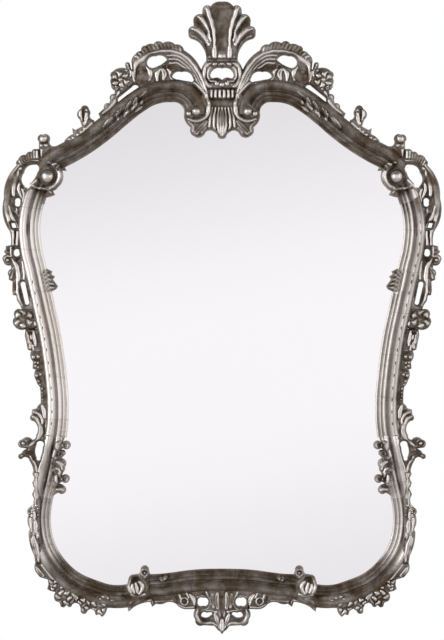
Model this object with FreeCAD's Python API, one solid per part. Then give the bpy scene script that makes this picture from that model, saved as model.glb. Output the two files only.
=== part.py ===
import FreeCAD, Part

import math
import os

# A carved, silver-leafed wall mirror. Seven lengths of moulding meet under carved junction pieces
# and hold one sheet of glass; pierced carvings stand round the outside.
#
# Axes: +X to the viewer's right, +Z up, and the front faces -Y. Y = 0 is the wall, which is the
# rear face of the back board. The origin is on that face, on the centre line. A depth is a
# distance from the wall towards the viewer. Names that end in PX are places read off the
# picture, across and down; a third number is a half width and a bead's last number its radius.
# In an edge, two numbers are the end of a straight stretch and four are an arc's middle and end.

# Overall size
OVERALL_HEIGHT = 1236.0

# Where the object lies in the picture
TOP_PX = 0.8
FOOT_PX = 634.4
CENTRE_PX = 222.0
MIDDLE_PX = 345.0
MM_PER_PX = OVERALL_HEIGHT / (FOOT_PX - TOP_PX)

# Glass, board and rebate
BOARD_THICKNESS = 6.0
PACKING_THICKNESS = 1.0
GLASS_THICKNESS = 4.0
GLASS_COVER = 9.0
GLASS_PLAY = 0.5
BOARD_COVER = 22.0

# Moulding
MOULDING_WIDTH = 44.0
MOULDING_HEIGHT = 32.0

# Carvings: how far each one's flat ground stands in front of the frame's back
CARVING_SETBACK = 2.0
RIB_SINK = 2.0
DOME_SHARE = 0.75
BEAD_LIFT_SHARE = 0.1
CREST_SHELL_RELIEF = 26.0
CREST_CARTOUCHE_RELIEF = 28.0
CREST_BLOCK_RELIEF = 27.0
CREST_SCROLL_RELIEF = 26.0
CREST_FLOWER_RELIEF = 23.0
RAIL_SPRAY_RELIEF = 34.0
RAIL_BUD_RELIEF = 25.0
SHOULDER_SCROLL_RELIEF = 26.0
SHOULDER_VOLUTE_RELIEF = 29.0
SIDE_LEAF_RELIEF = 24.0
SIDE_SHELL_RELIEF = 25.0
SIDE_ROSE_RELIEF = 26.0
HUSK_DROP_RELIEF = 22.0
WAIST_SCROLL_RELIEF = 26.0
WAIST_VOLUTE_RELIEF = 29.0
LOWER_LEAF_RELIEF = 33.0
CORNER_FLOWER_RELIEF = 27.0
FOOT_VOLUTE_RELIEF = 30.0
FOOT_SPRIG_RELIEF = 26.0
APRON_WING_RELIEF = 25.0
APRON_RELIEF = 26.0

# Dowels between mouldings and junction pieces
DOWEL_RADIUS = 3.0
DOWEL_REACH = 14.0
DOWEL_PLAY = 0.1
DOWEL_HEIGHT = 11.0
DOWEL_PLACE_SHARES = (0.3, 0.68)
CREST_DOWEL_PX = 213.0
CREST_DOWEL_REACH = 10.0

# Board screws
SCREW_RADIUS = 1.75
SCREW_HEAD_RADIUS = 3.5
SCREW_HEAD_DEPTH = 2.2
SCREW_LENGTH = 17.0
SCREW_INSET = 15.5
SCREW_PLAY = 0.1
BOARD_SCREW_EVERY = 3

# Hangers on the backs of the stiles
HANGER_HEIGHT_PX = 226.0
HANGER_INSET = 32.0
STRAP_WIDTH = 12.0
STRAP_LENGTH = 34.0
STRAP_THICKNESS = 1.2
WIRE_RADIUS = 1.3
WIRE_PLAY = 0.07
RING_REST_GAP = 0.3
BARREL_WALL = 0.95
BARREL_LENGTH = 8.0
RING_HALF_WIDTH = 7.0
RING_CORNER_RADIUS = 2.5
RING_LEG = 3.5
HANGER_SCREW_RADIUS = 1.5
HANGER_SCREW_HEAD_RADIUS = 2.8
HANGER_SCREW_LENGTH = 13.0
HANGER_SCREW_DROPS = (19.0, 29.0)

OVERRUN = 5.0

FRAME_BACK = BOARD_THICKNESS
REBATE_DEPTH = PACKING_THICKNESS + GLASS_THICKNESS

# The sight line, where the frame's inner edge shows on the glass: the left half, from the crest
# down to the foot, as the lengths of moulding and the spans between them
CREST_SPAN_PX = ((222, 116), (206, 113.5), (192, 108.5))
RAIL_CURL_PX = ((184, 112.5), (183.2, 107.5))
TOP_RAIL_PX = (
    (179.5, 103.2), (168, 101.5), (155, 104), (143, 111), (130, 121), (110, 138), (90, 152.5),
    (72, 163), (63, 167.5),
)
SHOULDER_SPAN_PX = ((52, 182),)
STILE_PX = (
    (45, 199), (41.3, 212), (39.6, 226), (41, 246), (46, 268), (53, 300), (60.5, 335),
    (65.5, 370), (68.2, 405), (67.7, 424), (66, 438),
)
WAIST_SPAN_PX = ((61, 462),)
LOWER_CORNER_PX = (
    (54.5, 492), (51.6, 504), (50.2, 522), (54, 543), (64, 560), (78, 573), (95, 580.8),
    (113, 585.8), (127, 585),
)
FOOT_SPAN_PX = ((139, 579),)
BOTTOM_RAIL_PX = ((150, 575), (160, 574.6), (170, 573.5), (190, 570.8), (222, 569.5))

# The moulding's section, as shares of its width and height from the sight edge outwards
SIGHT_EDGE_SHARES = (0.0, 0.28)
SECTION_SHARES = (
    (0.045, 0.40, 0.09, 0.31),
    (0.15, 0.36),
    (0.29, 0.70, 0.43, 0.66),
    (0.48, 0.58),
    (0.70, 1.0, 0.93, 0.78),
    (1.0, 0.62),
    (1.0, 0.0),
    (0.0, 0.0),
)

# Crest: half edges run from the centre line at the top round to the centre line below
CREST_SHELL_EDGE_PX = (
    (222, 0.8), (215.5, 1.4, 210.5, 5.6), (206, 4.6, 202.3, 9.5), (201.9, 13.5),
    (196, 14.5, 193.2, 21), (193.6, 25.5), (189.5, 27, 188.3, 32), (188.8, 35.8, 192, 38.3),
    (198, 41, 202, 45.5), (205.3, 52, 205.4, 61), (222, 61),
)
CREST_SHELL_RIBS_PX = (
    ((205.5, 9.5, 3), (207.8, 22, 3), (210.5, 36, 2.4), (212, 50, 1.8)),
    ((197.5, 20.5, 4), (203, 29, 3.6), (207, 39, 2.8), (209, 51, 2)),
    ((193, 32, 4), (199, 37.5, 3.6), (204.4, 45.5, 2.6), (207.2, 54, 1.6)),
)
CREST_CARTOUCHE_EDGE_PX = (
    (222, 61), (205.4, 61), (201.6, 68, 201, 76), (202.6, 83, 207.5, 88), (222, 88),
)
CREST_CARTOUCHE_HOLE_PX = (
    (222, 67.8), (213, 69.4, 210.4, 74.4), (211.5, 77.2, 213.5, 77.6), (218, 77, 222, 79.3),
)
CREST_CARTOUCHE_RIBS_PX = (((208.4, 64.4, 2), (205.4, 72, 2.8), (205.6, 79, 2.8), (209, 85, 2.2)),)
CREST_CARTOUCHE_BEADS_PX = ((222, 84, 4), (215.4, 83.4, 2.6), (214.6, 64.2, 2), (222, 63.8, 2.4))
CREST_BLOCK_EDGE_PX = (
    (222, 88), (205, 88), (196, 100), (184.3, 111), (184.2, 118, 187, 123.5), (190.5, 127),
    (190.6, 132.5, 194, 135.6), (199.5, 137, 204.5, 133.5), (207.5, 130.3, 211, 129.8),
    (214.5, 131.5, 217.5, 134.5), (219.5, 137.8, 222, 138.2),
)
CREST_BLOCK_RIBS_PX = (
    ((214.6, 90, 1.8), (214.6, 97, 1.8)),
    ((219.4, 90, 1.8), (219.4, 97, 1.8)),
    ((220.4, 105, 1.4), (220.2, 119, 2.2), (220.4, 134, 1.2)),
    ((213.6, 106, 1.6), (214, 117, 2.4), (214.6, 127, 1.4)),
    ((206.8, 121, 1.8), (201, 127, 3.4), (196.4, 131.6, 2.4)),
)
CREST_BLOCK_BEADS_PX = ((194.5, 113.4, 7),)
CREST_SCROLL_EDGE_PX = (
    (131.5, 63), (131.8, 57.5, 135, 53.8), (137.8, 51, 141, 50.2), (141.4, 46.8, 145, 45),
    (150, 43, 153.5, 43.4), (157.5, 40.4, 162.5, 42.4), (169, 40.8, 175, 43.8),
    (180.5, 44.6, 184, 49.6), (193.5, 57, 200.5, 67.5), (206.5, 80, 209.6, 95),
    (211, 107, 206, 119.5), (203, 119.5), (204, 104), (190, 90), (160, 86), (146, 89), (136, 96),
    (133, 80),
)
CREST_SCROLL_HOLES_PX = (
    ((147, 60.6), (150, 56.6, 155.5, 55.6), (163, 55.4, 166.8, 59.4), (161, 63.8, 155, 66.6),
     (150.5, 67, 147, 62.9)),
    ((172, 76.4), (175, 72, 181.5, 71.4), (189.5, 72.4, 192.7, 77.5), (193, 80.6, 190, 80.9),
     (176, 78.7)),
)
CREST_SLOT_PX = (
    (120.2, 98.6), (133.4, 87.6), (137, 86.4, 137.2, 90.4), (123.4, 101.2), (120.4, 101.8, 120.2, 98.6),
)
CREST_SCROLL_RIBS_PX = (
    ((135.4, 60, 2.4), (143.5, 51.4, 3.6), (158, 47.2, 4), (173, 49, 4), (186, 56.8, 3.6),
     (197, 70.4, 3), (204.6, 86, 2.4), (207.8, 102, 1.6), (205.4, 116, 1.2)),
    ((152, 70.4, 2.4), (162, 65.6, 2.4), (175, 66, 3.2), (187, 70, 3.2), (197.4, 80, 2.2),
     (203.6, 89, 1.6)),
)
CREST_SCROLL_BEADS_PX = ((142.6, 75, 7.4), (157, 74, 2.2), (162.6, 73, 2.2), (167.4, 73.4, 2.2))
CREST_FLOWER_EDGE_PX = (
    (136, 70), (131, 68.5), (129.8, 63.6), (127, 61.4, 124.8, 63.2), (125.4, 67.6),
    (118, 67.4, 112.6, 70.6), (110, 73.5, 111, 77), (110, 81, 110.8, 84), (111.5, 87.5, 114.5, 90),
    (114, 93.5), (109.8, 95.2, 109.8, 99), (109, 102.6), (104.6, 103.6, 103.6, 107.8),
    (98, 113), (102, 122), (118, 112), (138, 97),
)
CREST_FLOWER_RIBS_PX = (((118, 91, 2), (117, 98, 2), (110.6, 106, 2.2), (103.4, 111.8, 1.6)),)
CREST_FLOWER_BEADS_PX = (
    (118, 74.5, 4), (124.5, 72.5, 3.6), (116.5, 82, 4), (124, 80.4, 4.4), (130.4, 76.4, 3.6),
    (129.4, 83.4, 3), (121, 88.5, 3), (127.3, 64.8, 2.4), (112.6, 97.6, 2.2), (106.8, 105.6, 2.2),
)
RAIL_SPRAY_EDGE_PX = (
    (147, 90), (143.5, 98), (137, 102, 134.6, 110), (129.5, 109, 122, 118.5),
    (116, 117.5, 103.6, 126), (107.5, 118.5, 117, 111.5), (130, 101.5), (140, 94),
)
RAIL_SPRAY_RIBS_PX = (
    ((144.5, 92.6, 1.6), (136, 100.4, 2.8), (126, 109, 3), (114.6, 118, 2), (107.4, 122.6, 0.8)),
)
RAIL_BUD_EDGE_PX = (
    (81.5, 126), (79.3, 119), (77.2, 111.5, 80.4, 108.4), (84.6, 104.8, 88.6, 108.6),
    (90, 111.5, 89.4, 114.8), (90.4, 117.6, 93.5, 119.4), (96, 127), (84, 136), (72, 146),
    (60, 154), (57, 147), (63.5, 143.4), (64.3, 139.6), (68, 136), (72.6, 133.4), (71.8, 127.6),
    (75, 129.4),
)
RAIL_BUD_BEADS_PX = (
    (84.6, 113.4, 4.2), (84.6, 109.4, 2.4), (84.6, 121, 2.6), (85, 128.2, 2.4), (80, 131.4, 2.4),
    (76.8, 134.4, 2.6), (70.8, 138, 2.6), (67.4, 142, 2.4), (61, 146.6, 2.2),
)

# Shoulder
SHOULDER_HOLE_PX = (
    (33, 164.4), (38.6, 166.4, 37.6, 172.6), (34.6, 179, 30, 184), (26.4, 187.6, 23.6, 185.2),
    (21, 179.4, 23.6, 172.4), (27.6, 165.8, 33, 164.4),
)
SHOULDER_SCROLL_EDGE_PX = (
    (40, 148.5), (36, 148.6), (33, 148.8, 31, 151.4), (27.5, 151.6, 25.4, 154.4),
    (21, 155, 17.6, 159.4), (15.6, 162, 16.2, 165), (6.8, 178, 3.4, 198), (2.6, 216, 9.2, 231),
    (10.6, 238, 9.4, 245), (28, 245), (30, 200), (36, 190), (44, 165),
)
SHOULDER_SCROLL_HOLES_PX = (
    ((14.8, 202), (17.2, 197.8, 19.6, 202), (17.2, 206.2, 14.8, 202)),
    ((10.6, 223), (14.4, 222.8), (16, 227.4), (12, 227.6)),
)
SHOULDER_SCROLL_RIBS_PX = (
    ((18, 164, 1.8), (10.4, 177, 3.6), (7, 193, 3.4), (7, 210, 3), (11, 228, 1.8), (12.4, 243, 2.2)),
    ((21, 167, 1.4), (16.6, 178, 2.6), (13.6, 191, 2.6), (13, 204, 1.2)),
    ((36, 153, 1.4), (35, 160, 1.4)),
    ((31.4, 154, 1.4), (30.6, 161, 1.4)),
    ((26.6, 156.6, 1.4), (26, 163.6, 1.4)),
    ((21.6, 159.6, 1.4), (21.4, 165.4, 1.2)),
)
SHOULDER_VOLUTE_EDGE_PX = (
    (64.5, 166.5), (66, 170.4), (61.6, 170), (62.4, 179, 57.6, 186.6), (55.5, 189, 52.4, 190.4),
    (54.6, 194.6), (49.6, 196.4), (46, 204), (34, 202), (21.5, 193), (22, 187), (31, 178),
    (39, 165), (39.4, 157), (38.4, 148), (38.3, 141), (38, 135.4, 42.6, 134.2),
    (48, 134.6, 49.2, 140), (49.8, 144, 55, 145.6), (60, 146), (68, 152), (70, 164),
)
SHOULDER_VOLUTE_RIBS_PX = (
    ((49, 163.6, 2.6), (56.6, 168.4, 2.8), (59, 177, 2.4), (55.4, 185.4, 2.6), (46.4, 188.8, 2.4),
     (38, 186, 1.8)),
    ((43.6, 148, 3), (44.4, 156, 4), (46, 165, 3)),
)
SHOULDER_VOLUTE_BEADS_PX = ((46.6, 176.6, 8), (43.5, 139.4, 4.2), (43.4, 145, 3), (50.6, 192.6, 2))

# Side
SIDE_LEAF_EDGE_PX = (
    (9.4, 245), (5.4, 245.8), (5, 249.4), (3.2, 251.2), (5.6, 254.4), (2, 257.4, 2.8, 261),
    (5, 264.6, 10, 265.2), (10.6, 268.6), (8, 270.6, 8.2, 276), (8.2, 279.6), (12, 281.4),
    (11.6, 290.6), (12.4, 295), (15.6, 295.6), (16.4, 300.4), (19.6, 305), (22, 308), (36, 308),
    (34, 296), (29, 274), (26, 260), (26, 245),
)
SIDE_LEAF_HOLES_PX = (
    ((13.4, 252.4), (16.2, 248.9, 19.2, 252.4), (16.2, 256.2, 13.4, 252.4)),
    ((20.2, 285), (22.4, 281.6, 25, 284.6), (28.4, 301), (27.2, 304.6, 24.4, 302.6)),
)
SIDE_LEAF_RIBS_PX = (
    ((11, 247, 2), (11.6, 259, 2), (14, 270, 3), (15, 283, 3), (17.4, 295, 2), (21.4, 304.6, 1.6)),
    ((5.4, 259.6, 1.8), (10.4, 262, 1.8)),
)
SIDE_SHELL_EDGE_PX = (
    (46, 268.4), (52, 271.2), (50.8, 274), (54.4, 276.4), (52.4, 279.4), (55.2, 283),
    (57.4, 286.2), (55.6, 289.2), (51, 291.4), (47, 294.4), (39, 289), (37, 272),
)
SIDE_SHELL_RIBS_PX = (
    ((43.6, 276, 1.2), (50, 273, 1.1)),
    ((45, 281.4, 1.4), (52.4, 277.8, 1.2)),
    ((46, 286.6, 1.4), (55, 285.8, 1.3)),
)
SIDE_ROSE_EDGE_PX = (
    (20, 309), (14, 311.4, 14.2, 317), (12.2, 321.5, 13.4, 325.2), (18.6, 329.6, 26, 328.8),
    (34, 329), (42, 324), (38, 309), (30, 307.6, 20, 309),
)
SIDE_ROSE_BEADS_PX = (
    (19.4, 314.4, 3.8), (27.4, 313, 3.6), (23.8, 319.4, 4), (31, 319.4, 3.4), (18, 322.8, 3.6),
    (25.4, 324.8, 3.2), (31.6, 325, 2.6),
)
HUSK_DROP_EDGE_PX = (
    (25, 329), (24.2, 335.5), (27.2, 349.8), (30.6, 351), (29.6, 355.5, 31, 359.8), (32.4, 362),
    (32, 368.6), (35, 369.8), (33.6, 374.6, 35, 379.6), (36.8, 384), (39.2, 387), (40, 392),
    (40, 403), (52, 403), (50, 372), (46, 348), (40, 328.5),
)
HUSK_DROP_RIBS_PX = (
    ((28.4, 331.6, 2.4), (28.8, 340, 2.8), (30.6, 348.4, 1.8)),
    ((34, 332, 1.8), (35.4, 341, 2), (37, 349, 1)),
)
HUSK_DROP_BEADS_PX = (
    (33.8, 357.2, 2.8), (38, 356.8, 2.6), (35.4, 364.6, 2.8), (37, 374.8, 2.6), (38.6, 382, 2.2),
)

# Waist
WAIST_SCROLL_EDGE_PX = (
    (40.4, 403), (37.6, 405.6), (36, 408.6), (31.6, 409.6), (31, 415), (29.4, 417.4, 33, 421.2),
    (37.4, 429, 35.6, 435.4), (34.4, 439, 31.6, 440), (26, 437.4, 21.6, 439.8),
    (17.6, 444.8, 22.6, 448.2), (27, 449.2), (23.2, 450.6, 20.6, 454), (17.8, 457.6, 21.4, 459.2),
    (26, 457.6, 29, 461), (31.6, 466, 33, 472), (34, 484), (46, 484), (54, 440), (52, 403),
)
WAIST_SCROLL_HOLE_PX = (
    (40, 441.4), (42.6, 442.6, 42.4, 447), (41.4, 453.5, 39.8, 458.4), (37.8, 461, 36.2, 458),
    (34.6, 451, 36, 445.4), (37.8, 441.8, 40, 441.4),
)
WAIST_SCROLL_RIBS_PX = (
    ((42, 405, 1.6), (38.8, 413.6, 3.2), (39.8, 425, 2.4), (38.4, 436, 2), (30, 443.6, 2.4)),
    ((27, 454, 2.2), (32, 460, 1.8), (35.4, 468, 1.8), (36.2, 481, 1.6)),
)
WAIST_SCROLL_BEADS_PX = ((23.4, 442.9, 4.2), (23, 454.8, 3.4))
WAIST_VOLUTE_EDGE_PX = (
    (46, 436), (65, 436), (62.5, 442.4), (70.3, 445.2, 62.6, 448.4), (60.6, 450.4),
    (64.6, 451.4, 63.6, 456), (61.2, 458.6), (65.4, 461.6, 64.8, 467), (64.4, 470.6),
    (62.4, 473.4), (61.6, 476.2), (69.3, 479, 61.8, 482), (58.4, 484.2), (62.8, 485.6, 65.6, 489),
    (64.6, 493, 58, 493.2), (55, 494.6), (50, 499), (35.5, 495), (37, 482), (40.4, 470),
    (43.8, 457), (45.8, 445),
)
WAIST_VOLUTE_RIBS_PX = (
    ((50.4, 439, 2.6), (49.6, 455, 3.4), (51.6, 468, 3.4), (48.6, 480, 4), (46, 490, 3)),
    ((56.4, 452.6, 1.6), (62, 454.2, 1.6)),
    ((57, 463.4, 1.8), (62.6, 465.8, 1.8)),
    ((57, 472, 2), (58.4, 480, 2)),
)
WAIST_VOLUTE_BEADS_PX = ((65.6, 445.3, 3.6), (64.8, 479.1, 3.6), (60.4, 488.8, 2.8))

# Lower corner
LOWER_TRIM_PX = (
    (12, 470), (36, 470), (36, 489), (34.6, 500), (31, 508), (29.4, 518), (30.6, 532), (12, 532),
)
LOWER_LEAF_EDGE_PX = (
    (33, 471), (31.9, 474.2), (34.2, 478.4), (31.7, 483.2), (34.2, 488.6), (31.5, 494.6),
    (33.6, 499.2), (32.6, 504.4), (29, 508), (26.8, 511, 28, 515), (27.2, 523, 29.6, 529.6),
    (28.2, 532), (29.6, 545, 33.8, 556), (34.8, 563), (41, 564), (42.5, 548), (40.4, 530),
    (40.4, 512), (41, 500), (39.5, 486), (40.5, 471),
)
LOWER_LEAF_RIBS_PX = (
    ((36, 474, 1.8), (36.4, 487, 2.2), (36.4, 500, 1.6)),
    ((33.4, 516, 2), (33.4, 523, 2.6), (35, 530, 1.6)),
    ((34, 534, 2), (35.4, 546, 2.6), (38, 560, 1.6)),
)
LOWER_LEAF_BEADS_PX = ((31.6, 508.8, 2.4), (36.8, 505.8, 2.2), (31.4, 513, 1.8), (37, 511.4, 1.6))
CORNER_FLOWER_EDGE_PX = (
    (35, 563), (34, 569, 36, 573.4), (39.4, 577.8), (47.4, 580.2), (48, 585), (46.8, 589.6),
    (50, 591.6), (55, 592.8), (53.4, 597, 55.2, 601.6), (59.4, 603.4), (60.4, 607.4),
    (63.4, 608.2), (66.6, 605.6), (69.4, 607.8, 71.8, 605), (75, 603.4), (78.6, 604.8),
    (80.2, 608.4), (80.4, 612.4), (83.6, 614.6, 87, 611.6), (90.4, 609.4), (94, 611.4),
    (95.6, 616), (98.8, 615), (101.8, 617.6), (105.6, 613.4, 106.8, 608.8), (110, 608.6),
    (113.4, 606.4), (118, 606.8), (126.6, 605.2), (126.6, 596), (112, 594), (96, 592), (86, 594),
    (72, 585), (60, 574), (48, 560),
)
CORNER_FLOWER_BEADS_PX = (
    (38.4, 571.4, 2.6), (43.4, 575.6, 2.4), (51.8, 585, 3.6), (57, 580.6, 2.4), (62.4, 589.6, 3),
    (58.2, 598, 3.2), (65.4, 597.6, 3.2), (68.4, 602.6, 2.8), (74.6, 597, 2.4), (84.6, 604, 3.8),
    (84, 610.4, 2.4), (92.4, 605.6, 2.8), (99.6, 603.6, 4), (100.4, 611.6, 3.4), (109.4, 604.2, 2.2),
    (116, 603.6, 1.8),
)

# Foot
FOOT_VOLUTE_EDGE_PX = (
    (126.6, 585), (128, 580.4), (129.4, 577, 133.4, 575.4), (138.6, 574.6), (140.4, 571.6),
    (144.6, 566.2, 148.7, 571.2), (150, 575), (154, 577), (153, 602.6), (141.5, 604.2, 134, 607.6),
    (128.2, 612.4), (127, 606), (124, 598), (124, 587),
)
FOOT_VOLUTE_RIBS_PX = (
    ((129.4, 583.4, 1.4), (133, 578.6, 1.6), (138.6, 578.8, 1.4)),
    ((132, 586, 1.5), (131.6, 594, 1.7)),
    ((136.4, 585, 1.5), (136.8, 594, 1.7)),
    ((141, 584, 1.5), (142.4, 593, 1.7), (137.6, 600.4, 1.2)),
)
FOOT_VOLUTE_BEADS_PX = ((144.6, 570.6, 3.6), (145.6, 577, 3.2))
FOOT_SPRIG_EDGE_PX = ((158.6, 580), (160, 576.8, 163, 577.4), (166.4, 575.6, 167.4, 579.4), (163, 584))
FOOT_SPRIG_BEADS_PX = ((161, 580.2, 2), (165.2, 578.8, 2))
APRON_WING_EDGE_PX = (
    (150, 602.8), (152, 607.6), (156, 604.4), (160, 605, 164.6, 604), (171, 602.8, 176.4, 605),
    (181, 608.8, 187, 610), (195.6, 609.8), (197.6, 602), (198, 586), (178, 586), (165, 590),
    (150, 593),
)
APRON_WING_RIBS_PX = (
    ((153.4, 601, 1.6), (165, 600.4, 2), (176, 600, 2.6), (186, 596, 2.2), (192.6, 597, 2)),
    ((180, 604.6, 2), (187, 606.4, 2.2), (193.6, 605.4, 1.8)),
)
APRON_WING_BEADS_PX = ((184.4, 601.4, 3.2),)
APRON_EDGE_PX = (
    (222, 586), (196.4, 586), (197.4, 600), (195.8, 609.6), (193.4, 614, 195.2, 620),
    (197, 625.4, 203, 626), (214.4, 626.6), (217.6, 630.6), (220.4, 632.6), (221.2, 634.4),
    (222, 634.4),
)
APRON_HOLES_PX = (
    ((197.8, 602.4), (199, 598.8, 203, 598.6), (207.4, 599.6, 208.2, 603), (206.4, 606.4, 203, 606.4),
     (198.6, 606, 197.8, 602.4)),
    ((201.4, 615), (203.4, 612.8, 206.4, 613.4), (210.6, 612.8), (212, 614.6, 210.4, 616.2),
     (206.4, 618.4, 203.4, 618), (201.6, 617, 201.4, 615)),
)
APRON_RIBS_PX = (
    ((220.6, 592, 2), (219.6, 606, 3), (220, 620, 2.4), (221, 631, 1)),
    ((213.4, 594, 1.6), (212.4, 604, 2), (214.6, 616, 1.8), (217, 626, 1.2)),
    ((200, 609.6, 1.6), (198, 616.4, 2), (202.6, 621.8, 2), (211, 621.6, 2)),
)


def place(x_px, z_px, depth):
    """A point on the object, from a place in the picture and a depth from the wall."""
    return FreeCAD.Vector((x_px - CENTRE_PX) * MM_PER_PX, -depth, (MIDDLE_PX - z_px) * MM_PER_PX)


def mirrored(shape):
    """The same shape on the other side of the centre line."""
    return shape.mirror(FreeCAD.Vector(0, 0, 0), FreeCAD.Vector(1, 0, 0))


def tangents(points):
    """Unit directions of a smooth line through the points."""
    steps = [b - a for a, b in zip(points, points[1:])]
    directions = []
    for before, after in zip(steps, steps[1:]):
        direction = before * (after.Length / before.Length) + after * (before.Length / after.Length)
        directions.append(direction.normalize())
    first = reflected(directions[0], steps[0])
    last = reflected(directions[-1], steps[-1])
    return [first] + directions + [last]


def reflected(direction, step):
    """The direction at the other end of an arc that leaves a chord in this direction."""
    chord = FreeCAD.Vector(step).normalize()
    return (chord * (2 * direction.dot(chord)) - direction).normalize()


def arc_from(start, direction, end):
    """The arc between two points that starts in the given direction."""
    chord = end - start
    along = FreeCAD.Vector(chord).normalize()
    across = direction - along * direction.dot(along)
    turn = math.atan2(across.Length, direction.dot(along))
    if turn < 1e-4:
        return Part.LineSegment(start, end).toShape()
    bulge = across.normalize() * (chord.Length / 2 * math.tan(turn / 2))
    return Part.Arc(start, (start + end) / 2 + bulge, end).toShape()


def smooth_edges(points, directions):
    """Two tangent arcs from each point to the next."""
    edges = []
    for i in range(len(points) - 1):
        start, end = points[i], points[i + 1]
        leave, arrive = directions[i], directions[i + 1]
        chord = end - start
        bend = 2 * (1 - leave.dot(arrive))
        lead = chord.dot(leave + arrive)
        if bend < 1e-6:
            reach = chord.Length / 2
        else:
            reach = (math.sqrt(lead * lead + bend * chord.dot(chord)) - lead) / bend
        meet = (start + end + (leave - arrive) * reach) / 2
        edges.append(arc_from(start, leave, meet))
        edges.append(arc_from(meet, reflected(arrive, end - meet), end))
    return edges


def outward(direction):
    """Away from the glass, for a line that runs from the crest to the foot on the left."""
    return FreeCAD.Vector(direction.z, 0, -direction.x)


def sight_line():
    """The left half of the sight line, with its directions, at the wall."""
    table = CREST_SPAN_PX + TOP_RAIL_PX + SHOULDER_SPAN_PX + STILE_PX + WAIST_SPAN_PX
    table = table + LOWER_CORNER_PX + FOOT_SPAN_PX + BOTTOM_RAIL_PX
    points = [place(x, z, 0) for x, z in table]
    directions = tangents(points)
    directions[0] = FreeCAD.Vector(-1, 0, 0)
    directions[-1] = FreeCAD.Vector(1, 0, 0)
    return points, directions


def sheet(cover, back, front):
    """A flat sheet whose edge lies a steady distance outside the sight line."""
    points, directions = sight_line()
    edge = [p + outward(d) * cover for p, d in zip(points, directions)]
    closing = Part.LineSegment(edge[-1], edge[0]).toShape()
    half = Part.Face(Part.Wire(smooth_edges(edge, directions) + [closing]))
    half.translate(FreeCAD.Vector(0, -back, 0))
    solid = half.extrude(FreeCAD.Vector(0, back - front, 0))
    return solid.fuse(mirrored(solid)).removeSplitter().Solids[0]


def moulding_section(start, direction):
    """The closed outline of the moulding, standing square across the start of its path."""
    across = outward(direction)

    def corner(width_share, height_share):
        forward = FreeCAD.Vector(0, -height_share * MOULDING_HEIGHT, 0)
        return start + across * (width_share * MOULDING_WIDTH) + forward

    here = corner(*SIGHT_EDGE_SHARES)
    edges = []
    for stretch in SECTION_SHARES:
        end = corner(*stretch[-2:])
        if len(stretch) == 4:
            edges.append(Part.Arc(here, corner(*stretch[:2]), end).toShape())
        else:
            edges.append(Part.LineSegment(here, end).toShape())
        here = end
    edges.append(Part.LineSegment(here, corner(*SIGHT_EDGE_SHARES)).toShape())
    return Part.Wire(edges)


def moulding(table_px):
    """A length of moulding along the sight line through the table's points."""
    points = [place(x, z, FRAME_BACK) for x, z in table_px]
    directions = tangents(points)
    if table_px[-1][0] == CENTRE_PX:
        directions[-1] = FreeCAD.Vector(1, 0, 0)
    sweep = Part.BRepOffsetAPI.MakePipeShell(Part.Wire(smooth_edges(points, directions)))
    sweep.setBiNormalMode(FreeCAD.Vector(0, 1, 0))
    sweep.add(moulding_section(points[0], directions[0]))
    sweep.build()
    sweep.makeSolid()
    return sweep.shape()


def edge_wire(table_px, depth):
    """A closed outline of straight stretches and arcs."""
    start = place(*table_px[0], depth)
    here = start
    edges = []
    for stretch in table_px[1:]:
        end = place(*stretch[-2:], depth)
        if len(stretch) == 4:
            edges.append(Part.Arc(here, place(*stretch[:2], depth), end).toShape())
        else:
            edges.append(Part.LineSegment(here, end).toShape())
        here = end
    if (here - start).Length > 1e-6:
        edges.append(Part.LineSegment(here, start).toShape())
    return Part.Wire(edges)


def slab(table_px, back, front):
    """A flat piece with the given outline, from one depth to another."""
    face = Part.Face(edge_wire(table_px, back))
    return face.extrude(FreeCAD.Vector(0, back - front, 0))


def rib(stroke_px, ground):
    """A rounded rib that stands on a carving's ground, through places with half widths."""
    centres = [place(x, z, ground - RIB_SINK) for x, z, half in stroke_px]
    halves = [half * MM_PER_PX for x, z, half in stroke_px]
    if len(centres) > 2:
        directions = tangents(centres)
    else:
        directions = [(centres[1] - centres[0]).normalize()] * 2
    sections = []
    for centre, half, direction in zip(centres, halves, directions):
        side = outward(direction) * half
        crest = FreeCAD.Vector(0, -(RIB_SINK + half * DOME_SHARE), 0)
        over = Part.Arc(centre - side, centre + crest, centre + side).toShape()
        under = Part.LineSegment(centre + side, centre - side).toShape()
        sections.append(Part.Wire([over, under]))
    return Part.makeLoft(sections, True, False)


def bead(x_px, z_px, radius_px, ground):
    """A ball let into a carving's ground, with its seam running from its front to its back."""
    radius = radius_px * MM_PER_PX
    centre = place(x_px, z_px, ground + radius * BEAD_LIFT_SHARE)
    return Part.makeSphere(radius, centre, FreeCAD.Vector(0, -1, 0))


def carving(edge_px, relief, ribs_px=(), beads_px=(), holes_px=(), setback=CARVING_SETBACK):
    """A carved piece: a pierced ground with ribs and beads on it."""
    ground = FRAME_BACK + relief
    body = slab(edge_px, FRAME_BACK + setback, ground)
    raised = [rib(stroke, ground) for stroke in ribs_px]
    raised = raised + [bead(x, z, radius, ground) for x, z, radius in beads_px]
    if raised:
        body = body.multiFuse(raised)
    for hole in holes_px:
        body = pierced(body, hole)
    return body


def pierced(body, hole_px):
    """The body with a hole of the given outline right through it."""
    return body.cut(slab(hole_px, 0, FRAME_BACK + MOULDING_HEIGHT * 2))


def whole(half):
    """Both halves of a piece that crosses the centre line."""
    return half.fuse(mirrored(half)).removeSplitter()


def largest(shape):
    """The piece itself, without the crumbs that fitting leaves."""
    return max(shape.Solids, key=lambda solid: solid.Volume)


def fitted(shape, neighbours):
    """The piece with room cut for what it is fitted to."""
    near = [n for n in neighbours if n.BoundBox.intersect(shape.BoundBox)]
    if near:
        shape = shape.cut(near)
    return largest(shape)


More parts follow.
